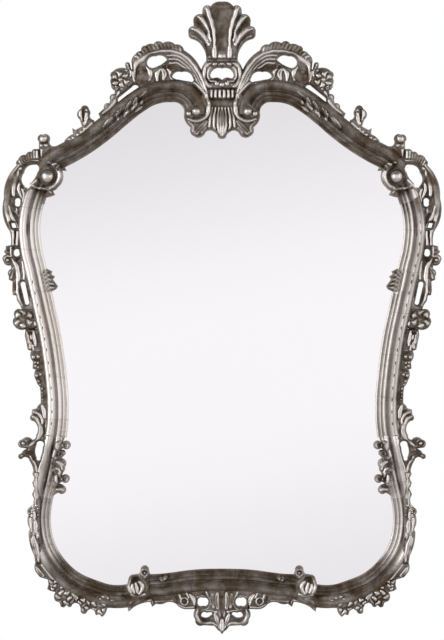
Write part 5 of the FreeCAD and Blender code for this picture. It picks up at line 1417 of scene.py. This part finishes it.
def head_tone(down):
    """The dark head of the stile, from how far down the picture a spot is."""
    return STILE_HEAD_TONE * np.clip((STILE_HEAD_FOOT_PX - down) / STILE_HEAD_FADE_PX, 0, 1)


def outer_shadow_and_head_tone(spots, section):
    """The painted shadow that the rose and the husks cast on the outer slope, and the dark head of
    the stile.
    """
    down = spots[:, :, 1]
    top, foot = OUTER_SHADOW_DOWN_PX
    side = np.clip((down - top) / OUTER_SHADOW_FADE_PX, 0, 1)
    side *= np.clip((foot - down) / OUTER_SHADOW_FADE_PX, 0, 1)
    out = np.clip((section[:, 0] - OUTER_SHADOW_FROM_SHARE) / OUTER_SHADOW_FADE_SHARE, 0, 1)
    return np.maximum(side * out * OUTER_PAINTED_SHADOW, head_tone(down))


def new_node(tree, kind, inputs=(), **settings):
    """A node with its settings, and its inputs linked or set."""
    made = tree.nodes.new(kind)
    for setting, value in settings.items():
        setattr(made, setting, value)
    for socket, value in dict(inputs).items():
        if isinstance(value, bpy.types.NodeSocket):
            tree.links.new(value, made.inputs[socket])
        else:
            made.inputs[socket].default_value = value
    return made


def maths(tree, operation, *values, clamp=False):
    """What a math node puts out."""
    return new_node(tree, "ShaderNodeMath", dict(enumerate(values)), operation=operation,
                    use_clamp=clamp).outputs[0]


def vector_maths(tree, operation, first, second):
    """What a vector math node puts out."""
    return new_node(tree, "ShaderNodeVectorMath", {0: first, 1: second},
                    operation=operation).outputs[0]


def ranged(tree, value, before, after=(0, 1), smooth=False):
    """A value carried from one range over to another."""
    return new_node(tree, "ShaderNodeMapRange", {
        "Value": value, "From Min": before[0], "From Max": before[1],
        "To Min": after[0], "To Max": after[1],
    }, interpolation_type="SMOOTHSTEP" if smooth else "LINEAR").outputs[0]


def noise(tree, where, scale, detail, roughness=0.5, distortion=0.0, socket=0):
    """Noise over the places given."""
    return new_node(tree, "ShaderNodeTexNoise", {
        "Vector": where, "Scale": scale, "Detail": detail, "Roughness": roughness,
        "Distortion": distortion,
    }).outputs[socket]


def object_places(tree):
    """Places in the object's own space."""
    return new_node(tree, "ShaderNodeTexCoord").outputs["Object"]


def blended(tree, share, first, second):
    """Two colours mixed."""
    return new_node(tree, "ShaderNodeMix", {"Factor": share, 6: first, 7: second},
                    data_type="RGBA").outputs[2]


def relief(tree, height, strength, distance):
    """The surface's direction with a fine relief laid on it."""
    return new_node(tree, "ShaderNodeBump", {
        "Height": height, "Strength": strength, "Distance": distance,
    }).outputs[0]


def placed(tree, group, inputs):
    """What a group placed in a material puts out."""
    return new_node(tree, "ShaderNodeGroup", inputs, node_tree=group).outputs


def opaque(colour, share=1.0):
    """A colour as a socket takes it, darkened to a share."""
    return tuple(value * share for value in colour) + (1,)


def new_group(name, inputs):
    """A node group with its inputs' defaults, and what its inputs bring."""
    group = bpy.data.node_groups.new(name, "ShaderNodeTree")
    for label, value in inputs.items():
        kind = "NodeSocketColor" if isinstance(value, tuple) else "NodeSocketFloat"
        group.interface.new_socket(label, in_out="INPUT", socket_type=kind).default_value = value
    return group, new_node(group, "NodeGroupInput").outputs


def put_out(group, values, colours=()):
    """The group with its output sockets, and what they put out."""
    for label in values:
        kind = "NodeSocketColor" if label in colours else "NodeSocketFloat"
        group.interface.new_socket(label, in_out="OUTPUT", socket_type=kind)
    new_node(group, "NodeGroupOutput", values)
    return group


def leaf_lay_group():
    """Squares of leaf laid edge over edge: a tint for each, and the line where two meet."""
    found = bpy.data.node_groups.get("leaf lay")
    if found:
        return found
    group, given = new_group("leaf lay", {"Size": 0.08})
    where = object_places(group)
    drift = noise(group, where, 9, 3, socket="Color")
    pull = vector_maths(group, "SUBTRACT", drift, (0.5, 0.5, 0.5))
    slack = vector_maths(group, "MULTIPLY", pull, (0.011, 0.011, 0.011))
    moved = vector_maths(group, "ADD", where, slack)
    apart = new_node(group, "ShaderNodeSeparateXYZ", {0: moved}).outputs
    flat = new_node(group, "ShaderNodeCombineXYZ", {0: apart[0], 1: apart[2]}).outputs[0]
    laid = new_node(group, "ShaderNodeVectorRotate", {"Vector": flat, "Angle": 0.06},
                    rotation_type="Z_AXIS").outputs[0]
    squares = new_node(group, "ShaderNodeTexBrick", {
        "Vector": laid, "Color1": (0, 0, 0, 1), "Color2": (1, 1, 1, 1),
        "Mortar": (0.5, 0.5, 0.5, 1), "Scale": 1, "Mortar Size": 0.0007, "Mortar Smooth": 0.6,
        "Brick Width": given["Size"], "Row Height": given["Size"],
    }, offset=0.37).outputs
    folds = noise(group, where, 46, 4, distortion=1.2)
    ridge = maths(group, "ABSOLUTE", maths(group, "SUBTRACT", folds, 0.5))
    fine = noise(group, where, 240, 5, roughness=0.6)
    wrinkle = maths(group, "MULTIPLY_ADD", ridge, 1.6, fine)
    return put_out(
        group, {"Tint": squares["Color"], "Seam": squares["Fac"], "Wrinkle": wrinkle})


def toning_and_shade_group():
    """Brown glaze that lies in the hollows, is wiped off the ridges and is flicked on as specks.
    Its brown also carries painted shade, and the wiped ridges partly stand for painted highlights.
    """
    found = bpy.data.node_groups.get("brown toning")
    if found:
        return found
    group, given = new_group("brown toning", {"Hollow_and_shade": 0.0, "Tone_and_shade": 0.0, "Seam": 0.0})
    where = object_places(group)
    clouds = noise(group, where, 34, 6, roughness=0.62)
    uneven = ranged(group, clouds, (0.32, 0.68), (0.66, 1.12))
    wiped_and_highlit = ranged(group, given["Hollow_and_shade"], (0.04, 0.31), smooth=True)
    kept = maths(group, "MULTIPLY_ADD", wiped_and_highlit, 0.86, 0.14)
    field = maths(group, "MULTIPLY", maths(group, "MULTIPLY", given["Tone_and_shade"], uneven), kept)
    deep = ranged(group, given["Hollow_and_shade"], (0.38, 0.85), smooth=True)
    most = maths(group, "MAXIMUM", field, maths(group, "MULTIPLY", deep, uneven))
    lined = maths(group, "MULTIPLY_ADD", given["Seam"], 0.18, most, clamp=True)
    flicks = new_node(group, "ShaderNodeTexVoronoi", {"Vector": where, "Scale": 130})
    speck = ranged(group, flicks.outputs["Distance"], (0.1, 0.2), (1, 0))
    sparse = maths(group, "GREATER_THAN", clouds, 0.56)
    return put_out(group, {"Glaze_and_shade": lined, "Speck": maths(group, "MULTIPLY", speck, sparse)})


def wood_grain_group():
    """Long grain with pores, for the dowels and the bare backs of the carvings."""
    found = bpy.data.node_groups.get("wood grain")
    if found:
        return found
    group, given = new_group(
        "wood grain", {"Light": (0.5, 0.34, 0.2, 1), "Dark": (0.3, 0.19, 0.1, 1), "Scale": 1.0})
    sized = vector_maths(group, "MULTIPLY", object_places(group), given["Scale"])
    long = vector_maths(group, "MULTIPLY", sized, (26, 26, 1.6))
    rings = noise(group, long, 1, 5, distortion=0.8)
    pores = noise(group, vector_maths(group, "MULTIPLY", sized, (420, 420, 14)), 1, 2)
    grain = maths(group, "MULTIPLY_ADD", pores, 0.5, ranged(group, rings, (0.35, 0.65)))
    share = maths(group, "MULTIPLY", grain, 0.7, clamp=True)
    mixed = blended(group, share, given["Light"], given["Dark"])
    return put_out(group, {"Color": mixed, "Grain": grain}, colours=("Color",))


def new_material(name, **plain):
    """A material with its shader, whose plain values are given by socket name."""
    material = bpy.data.materials.new(name)
    material.use_nodes = True
    tree = material.node_tree
    shader = tree.nodes["Principled BSDF"]
    for socket, value in plain.items():
        shader.inputs[socket.replace("_", " ")].default_value = value
    return material, tree, shader


def feed(shader, **values):
    """Links values to a shader's sockets, given by socket name."""
    for socket, value in values.items():
        shader.id_data.links.new(value, shader.inputs[socket.replace("_", " ")])


def leaf_material():
    """Silver leaf over wood, toned brown and rubbed back to bright metal on the ridges. The brown
    also carries painted shade, and the bright ridges partly painted highlights.
    """
    found = bpy.data.materials.get("toned silver leaf")
    if found:
        return found
    colours = bpy.context.scene.mirror_colours
    material, tree, shader = new_material("toned silver leaf")
    hollow_and_shade, toned_and_shaded, bare = (
        new_node(tree, "ShaderNodeAttribute", attribute_name=mark).outputs["Fac"]
        for mark in ("hollow_and_shade", "toned_and_shaded", "bare")
    )
    lay = placed(tree, leaf_lay_group(), {"Size": bpy.context.scene.mirror_sizes.leaf_square})
    toning = placed(tree, toning_and_shade_group(), {
        "Hollow_and_shade": hollow_and_shade, "Tone_and_shade": toned_and_shaded, "Seam": lay["Seam"],
    })
    wood = placed(tree, wood_grain_group(), {
        "Light": opaque(colours.bare_wood), "Dark": opaque(colours.bare_wood, 0.55),
    })
    brown = opaque(colours.toning)
    tint = maths(tree, "MULTIPLY", lay["Tint"], 0.35)
    leaf = blended(tree, tint, opaque(colours.silver_leaf), opaque(colours.silver_leaf_shade))
    glazed_and_shaded = blended(tree, toning["Glaze_and_shade"], leaf, brown)
    specked = blended(tree, maths(tree, "MULTIPLY", toning["Speck"], 0.45), glazed_and_shaded, brown)
    gone = ranged(tree, bare, (0.1, 0.6))
    dull = maths(tree, "MAXIMUM", toning["Glaze_and_shade"], gone)
    metal = ranged(tree, dull, (0, 1), (0.94, 0.25))
    rough = ranged(tree, dull, (0, 1), (0.27, 0.52))
    height = maths(tree, "MULTIPLY_ADD", lay["Seam"], 0.6, lay["Wrinkle"])
    feed(
        shader, Base_Color=blended(tree, gone, specked, wood["Color"]),
        Metallic=maths(tree, "MULTIPLY", metal, maths(tree, "SUBTRACT", 1, gone)),
        Roughness=maths(tree, "MULTIPLY_ADD", lay["Wrinkle"], 0.08, rough),
        Normal=relief(tree, height, 0.28, 0.0006),
    )
    return material


def mirror_material():
    """Silvered glass: bright, very smooth, with a faint haze and a little dust."""
    glass = bpy.context.scene.mirror_colours.glass
    material, tree, shader = new_material("silvered glass", Metallic=1.0)
    where = object_places(tree)
    haze = ranged(tree, noise(tree, where, 2.2, 3), (0.3, 0.7), (0, 0.12))
    dust = ranged(tree, noise(tree, where, 320, 4), (0.64, 0.76), (0, 0.05))
    both = maths(tree, "ADD", haze, dust)
    feed(
        shader, Base_Color=blended(tree, both, opaque(glass), opaque(glass, 0.95)),
        Roughness=maths(tree, "MULTIPLY_ADD", both, 0.06, 0.012),
    )
    return material


def board_material():
    """Brown hardboard with its fine pressed fibre."""
    board = bpy.context.scene.mirror_colours.board
    material, tree, shader = new_material("pressed board", Roughness=0.68)
    where = object_places(tree)
    fibre = noise(tree, where, 420, 6, roughness=0.7, distortion=1.5)
    mixed = maths(tree, "MULTIPLY_ADD", fibre, 0.65, noise(tree, where, 11, 4))
    share = ranged(tree, mixed, (0.6, 1.05))
    feed(
        shader, Base_Color=blended(tree, share, opaque(board), opaque(board, 0.6)),
        Normal=relief(tree, fibre, 0.35, 0.0004),
    )
    return material


def card_material():
    """Grey packing card."""
    material, tree, shader = new_material("packing card", Roughness=0.85)
    pulp = noise(tree, object_places(tree), 600, 5)
    feed(
        shader, Base_Color=blended(tree, pulp, (0.47, 0.44, 0.39, 1), (0.33, 0.31, 0.27, 1)),
        Normal=relief(tree, pulp, 0.2, 0.0003),
    )
    return material


def dowel_material():
    """Turned beech with its grain along the dowel."""
    material, tree, shader = new_material("beech dowel", Roughness=0.55)
    wood = placed(tree, wood_grain_group(), {
        "Light": (0.62, 0.44, 0.27, 1), "Dark": (0.44, 0.28, 0.16, 1), "Scale": 3.0,
    })
    feed(shader, Base_Color=wood["Color"], Normal=relief(tree, wood["Grain"], 0.2, 0.0002))
    return material


def zinc_material():
    """Zinc-plated steel, its spangle dulled by handling."""
    material, tree, shader = new_material("zinc plate", Metallic=1.0)
    where = object_places(tree)
    spangle = new_node(tree, "ShaderNodeTexVoronoi", {"Vector": where, "Scale": 520})
    smear = noise(tree, where, 90, 6)
    share = maths(tree, "MULTIPLY", spangle.outputs["Distance"], smear)
    feed(
        shader, Base_Color=blended(tree, share, (0.62, 0.63, 0.64, 1), (0.36, 0.36, 0.35, 1)),
        Roughness=ranged(tree, smear, (0, 1), (0.2, 0.48)),
        Normal=relief(tree, smear, 0.15, 0.0002),
    )
    return material


def finish_nodes(names, material):
    """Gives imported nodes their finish."""
    for name in names:
        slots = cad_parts[name].material_slots
        if not len(slots):
            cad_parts[name].data.materials.append(material)
        for slot in slots:
            slot.material = material


class MirrorSizes(bpy.types.PropertyGroup):
    """Sizes of the mirror that can be changed before it is made."""

    moulding_width: bpy.props.FloatProperty(
        name="Moulding Width", description="From the sight edge to the outer edge of the moulding",
        default=0.044, min=0.01, max=0.1, unit="LENGTH")
    moulding_height: bpy.props.FloatProperty(
        name="Moulding Height", description="From the back of the frame to the top of the moulding",
        default=0.032, min=0.01, max=0.06, unit="LENGTH")
    leaf_square: bpy.props.FloatProperty(
        name="Leaf Square", description="Side of one square of silver leaf",
        default=0.082, min=0.02, max=0.2, unit="LENGTH")
    # How much glaze, and with it the painted shade that the glaze carries
    toning: bpy.props.FloatProperty(
        name="Toning", description="How much brown glaze the carver left on",
        default=1.0, min=0.0, max=1.5, subtype="FACTOR")
    floor_drop: bpy.props.FloatProperty(
        name="Floor Drop", description="How far the floor lies below the middle of the frame",
        default=0.9, min=0.7, max=3.0, unit="LENGTH")
    camera_distance: bpy.props.FloatProperty(
        name="Camera Distance", description="From the wall to the camera",
        default=6.0, min=2.0, max=12.0, unit="LENGTH")


class MirrorColours(bpy.types.PropertyGroup):
    """Colours of the mirror's finishes."""

    silver_leaf: bpy.props.FloatVectorProperty(
        name="Silver Leaf", description="Leaf burnished bright",
        default=(0.80, 0.752, 0.722), subtype="COLOR", min=0.0, max=1.0)
    silver_leaf_shade: bpy.props.FloatVectorProperty(
        name="Silver Leaf Shade", description="Leaf where a square lies duller",
        default=(0.61, 0.54, 0.475), subtype="COLOR", min=0.0, max=1.0)
    # The glaze's brown, which is also the colour of the painted shade
    toning: bpy.props.FloatVectorProperty(
        name="Toning", description="Brown glaze in the hollows",
        default=(0.09, 0.056, 0.031), subtype="COLOR", min=0.0, max=1.0)
    bare_wood: bpy.props.FloatVectorProperty(
        name="Bare Wood", description="Back of the carving, where no leaf was laid",
        default=(0.36, 0.24, 0.14), subtype="COLOR", min=0.0, max=1.0)
    glass: bpy.props.FloatVectorProperty(
        name="Glass", description="What the mirror glass gives back",
        default=(0.945, 0.92, 0.945), subtype="COLOR", min=0.0, max=1.0)
    board: bpy.props.FloatVectorProperty(
        name="Back Board", description="Pressed board behind the glass",
        default=(0.30, 0.19, 0.11), subtype="COLOR", min=0.0, max=1.0)


def carve_all(context, *ornaments):
    """Carves ornaments one after another, for an operator."""
    for ornament in ornaments:
        carve(ornament, context)
    return {"FINISHED"}


class MIRROR_OT_crest(bpy.types.Operator):
    """Carve the shell, the pierced cartouche and the block with its acanthus pendant"""

    bl_idname = "mirror.crest"
    bl_label = "Crest"

    def execute(self, context):
        return carve_all(context, "crest_shell", "crest_cartouche", "crest_block")


class MIRROR_OT_scrolls(bpy.types.Operator):
    """Carve the pierced scrolls of the crest, the shoulders and the waist"""

    bl_idname = "mirror.scrolls"
    bl_label = "Scrolls"

    def execute(self, context):
        return carve_all(context, "crest_scroll", "shoulder_scroll", "waist_scroll")


class MIRROR_OT_junctions(bpy.types.Operator):
    """Carve the volutes that cover the joints of the mouldings"""

    bl_idname = "mirror.junctions"
    bl_label = "Junction Volutes"

    def execute(self, context):
        return carve_all(context, "shoulder_volute", "waist_volute", "foot_volute")


class MIRROR_OT_leaves(bpy.types.Operator):
    """Carve the leaf sprays, the side garlands, the shells, the husks and the leaf strips"""

    bl_idname = "mirror.leaves"
    bl_label = "Leaves and Husks"

    def execute(self, context):
        return carve_all(
            context, "rail_leaf_spray", "side_leaf", "side_shell", "husk_drop", "lower_leaf")


class MIRROR_OT_flowers(bpy.types.Operator):
    """Carve the flowers, buds and roses"""

    bl_idname = "mirror.flowers"
    bl_label = "Flowers"

    def execute(self, context):
        return carve_all(
            context, "crest_flower", "rail_bud", "side_rose", "corner_flower", "foot_sprig")


class MIRROR_OT_apron(bpy.types.Operator):
    """Carve the pierced apron and its two curled wings"""

    bl_idname = "mirror.apron"
    bl_label = "Apron"

    def execute(self, context):
        return carve_all(context, "apron", "apron_wing")


class MIRROR_OT_mouldings(bpy.types.Operator):
    """Run the seven lengths of moulding along the sight line, with the stiles' punched pits"""

    bl_idname = "mirror.mouldings"
    bl_label = "Mouldings"

    def execute(self, context):
        # The rails are toned dark as painted shade, and the stiles are kept bright
        run_moulding("top_rail", TOP_RAIL_PX, context, RAIL_STEP_PX, RAIL_PAINTED_SHADE)
        run_moulding("side_stile", STILE_PX, context, STILE_STEP_PX, STILE_TONE, pits=True)
        run_moulding("lower_corner", LOWER_CORNER_PX, context, RAIL_STEP_PX, CORNER_TONE)
        run_moulding("bottom_rail", BOTTOM_RAIL_PX, context, RAIL_STEP_PX, RAIL_PAINTED_SHADE, whole=True)
        return {"FINISHED"}


class MIRROR_OT_glass(bpy.types.Operator):
    """Silver the glass"""

    bl_idname = "mirror.glass"
    bl_label = "Glass"

    def execute(self, context):
        finish_nodes(("mirror_glass",), mirror_material())
        return {"FINISHED"}


class MIRROR_OT_back(bpy.types.Operator):
    """Finish the packing, the board, the dowels, the screws and the hangers"""

    bl_idname = "mirror.back"
    bl_label = "Back and Hangers"

    def execute(self, context):
        finish_nodes(("glass_packing",), card_material())
        finish_nodes(("back_panel",), board_material())
        finish_nodes(("joint_dowels", "crest_dowels"), dowel_material())
        finish_nodes((
            "panel_screws", "hanger_screws", "hanger_strap_left", "hanger_strap_right",
            "hanger_ring_left", "hanger_ring_right",
        ), zinc_material())
        return {"FINISHED"}


class MIRROR_OT_stage(bpy.types.Operator):
    """Lay the floor, hang the lamps and set the camera square to the mirror"""

    bl_idname = "mirror.stage"
    bl_label = "Studio"

    def execute(self, context):
        set_stage(context)
        return {"FINISHED"}


class MIRROR_PT_maker(bpy.types.Panel):
    """The mirror's pieces, sizes and colours"""

    bl_label = "Silver Leaf Mirror"
    bl_idname = "MIRROR_PT_maker"
    bl_space_type = "VIEW_3D"
    bl_region_type = "UI"
    bl_category = "Mirror"

    def draw(self, context):
        layout = self.layout
        for group in (context.scene.mirror_sizes, context.scene.mirror_colours):
            box = layout.box()
            for field in group.__annotations__:
                box.prop(group, field)
        for maker in MAKERS:
            layout.operator(maker.bl_idname)


def flat_panel(name, middle, across, up, material):
    """A flat stage panel from its middle and its two half sides."""
    middle, across, up = Vector(middle), Vector(across), Vector(up)
    sides = ((-1, -1), (1, -1), (1, 1), (-1, 1))
    corners = [tuple(middle + across * right + up * high) for right, high in sides]
    mesh = bpy.data.meshes.new(name)
    mesh.from_pydata(corners, [], [(0, 1, 2, 3)])
    mesh.materials.append(material)
    panel = bpy.data.objects.new(name, mesh)
    bpy.context.scene.collection.objects.link(panel)
    return panel


def mirrored_only(panel):
    """Leaves a panel to be seen only in what metal and glass mirror."""
    panel.visible_camera = panel.visible_diffuse = False
    panel.visible_shadow = panel.visible_transmission = False


def floor_material():
    """Pale floor with a faint unevenness."""
    material, tree, shader = new_material("pale floor", Roughness=0.7)
    cloud = noise(tree, object_places(tree), 3, 4)
    feed(shader, Base_Color=blended(tree, cloud, (0.80, 0.80, 0.80, 1), (0.76, 0.76, 0.765, 1)))
    return material


def flag_material():
    """A studio flag: the dark board that metal mirrors to show its shape."""
    material, tree, shader = new_material("studio flag", Roughness=0.9)
    weave = new_node(tree, "ShaderNodeTexNoise", {"Scale": 40}).outputs[0]
    feed(shader, Base_Color=blended(tree, weave, (0.03, 0.027, 0.026, 1), (0.05, 0.046, 0.044, 1)))
    return material


def graded_card_material():
    """The wall behind the camera that the glass mirrors: a little duller above and below."""
    material, tree, shader = new_material(
        "graded card", Specular_IOR_Level=0.0, Emission_Strength=1.0, Base_Color=(0, 0, 0, 1))
    where = object_places(tree)
    apart = new_node(tree, "ShaderNodeSeparateXYZ", {0: where}).outputs
    upper = maths(tree, "MULTIPLY_ADD", apart[0], -0.2, apart[2])
    lower = maths(tree, "MULTIPLY_ADD", apart[0], -0.18, apart[2])
    above = ranged(tree, upper, (0.0, 1.15), (1, 0.79), smooth=True)
    below = ranged(tree, lower, (-0.35, -1.25), (1, 0.86), smooth=True)
    both = maths(tree, "MULTIPLY", above, below)
    reach = new_node(tree, "ShaderNodeVectorMath", {0: where, 1: (0, CARD_BEHIND, 0)},
                     operation="DISTANCE").outputs["Value"]
    fade = ranged(tree, reach, (1.3, 1.75), smooth=True)
    feed(shader, Emission_Color=blended(tree, fade, both, (1, 1, 1, 1)))
    return material


def soft_lamp(name, spot, aim, wide, high, power):
    """A soft box that points at a spot."""
    lamp = bpy.data.lights.new(name, "AREA")
    lamp.shape = "RECTANGLE"
    lamp.size = wide
    lamp.size_y = high
    lamp.energy = power
    box = bpy.data.objects.new(name, lamp)
    box.location = spot
    box.rotation_euler = (Vector(aim) - Vector(spot)).to_track_quat("-Z", "Y").to_euler()
    bpy.context.scene.collection.objects.link(box)


def white_world():
    """White for the camera and in what metal and glass mirror, softer as light."""
    world = bpy.data.worlds.new("studio white")
    world.use_nodes = True
    tree = world.node_tree
    sky = tree.nodes["Background"]
    sky.inputs["Color"].default_value = (1, 1, 1, 1)
    rays = new_node(tree, "ShaderNodeLightPath").outputs
    seen = maths(tree, "MAXIMUM", rays["Is Camera Ray"], rays["Is Glossy Ray"])
    through = maths(tree, "MAXIMUM", seen, rays["Is Transmission Ray"])
    feed(sky, Strength=ranged(tree, through, (0, 1), (WORLD_LIGHT, 1)))
    bpy.context.scene.world = world


def set_camera(context):
    """The camera, square to the mirror and far enough off to frame the whole picture."""
    distance = context.scene.mirror_sizes.camera_distance
    lens = bpy.data.cameras.new("studio_camera")
    view = bpy.data.objects.new("studio_camera", lens)
    context.scene.collection.objects.link(view)
    view.location = (0, -distance, (MIDDLE_PX - PICTURE_HIGH / 2) * PX)
    view.rotation_euler = (math.pi / 2, 0, 0)
    lens.sensor_width = SENSOR_WIDE
    lens.lens = SENSOR_WIDE * (distance - FACE_DEPTH) / (PICTURE_HIGH * PX)
    context.scene.camera = view
    context.scene.view_settings.view_transform = "Standard"


def set_stage(context):
    """The floor, the flag, the card, the lamps, the world and the camera."""
    floor_at = (0, FLOOR_BEHIND, -context.scene.mirror_sizes.floor_drop)
    flat_panel("studio_floor", floor_at, *FLOOR_SIDES, floor_material())
    mirrored_only(flat_panel("flag_above", *FLAG_ABOVE, flag_material()))
    mirrored_only(
        flat_panel("graded_card", (0, CARD_BEHIND, 0), *CARD_SIDES, graded_card_material()))
    for lamp in LAMPS:
        soft_lamp(*lamp)
    white_world()
    set_camera(context)


MAKERS = (
    MIRROR_OT_mouldings, MIRROR_OT_crest, MIRROR_OT_scrolls, MIRROR_OT_junctions, MIRROR_OT_leaves,
    MIRROR_OT_flowers, MIRROR_OT_apron, MIRROR_OT_glass, MIRROR_OT_back, MIRROR_OT_stage,
)
CLASSES = (MirrorSizes, MirrorColours, MIRROR_PT_maker) + MAKERS


def register():
    """Registers the classes and hangs the sizes and colours on the scene."""
    for kind in CLASSES:
        bpy.utils.register_class(kind)
    bpy.types.Scene.mirror_sizes = bpy.props.PointerProperty(type=MirrorSizes)
    bpy.types.Scene.mirror_colours = bpy.props.PointerProperty(type=MirrorColours)


def unregister():
    """Takes the sizes, the colours and the classes away again."""
    del bpy.types.Scene.mirror_colours
    del bpy.types.Scene.mirror_sizes
    for kind in reversed(CLASSES):
        bpy.utils.unregister_class(kind)


def main():
    """Makes the mirror and its studio."""
    register()
    for maker in MAKERS:
        getattr(bpy.ops.mirror, maker.bl_idname.split(".")[1])()


if __name__ == "__main__":
    main()
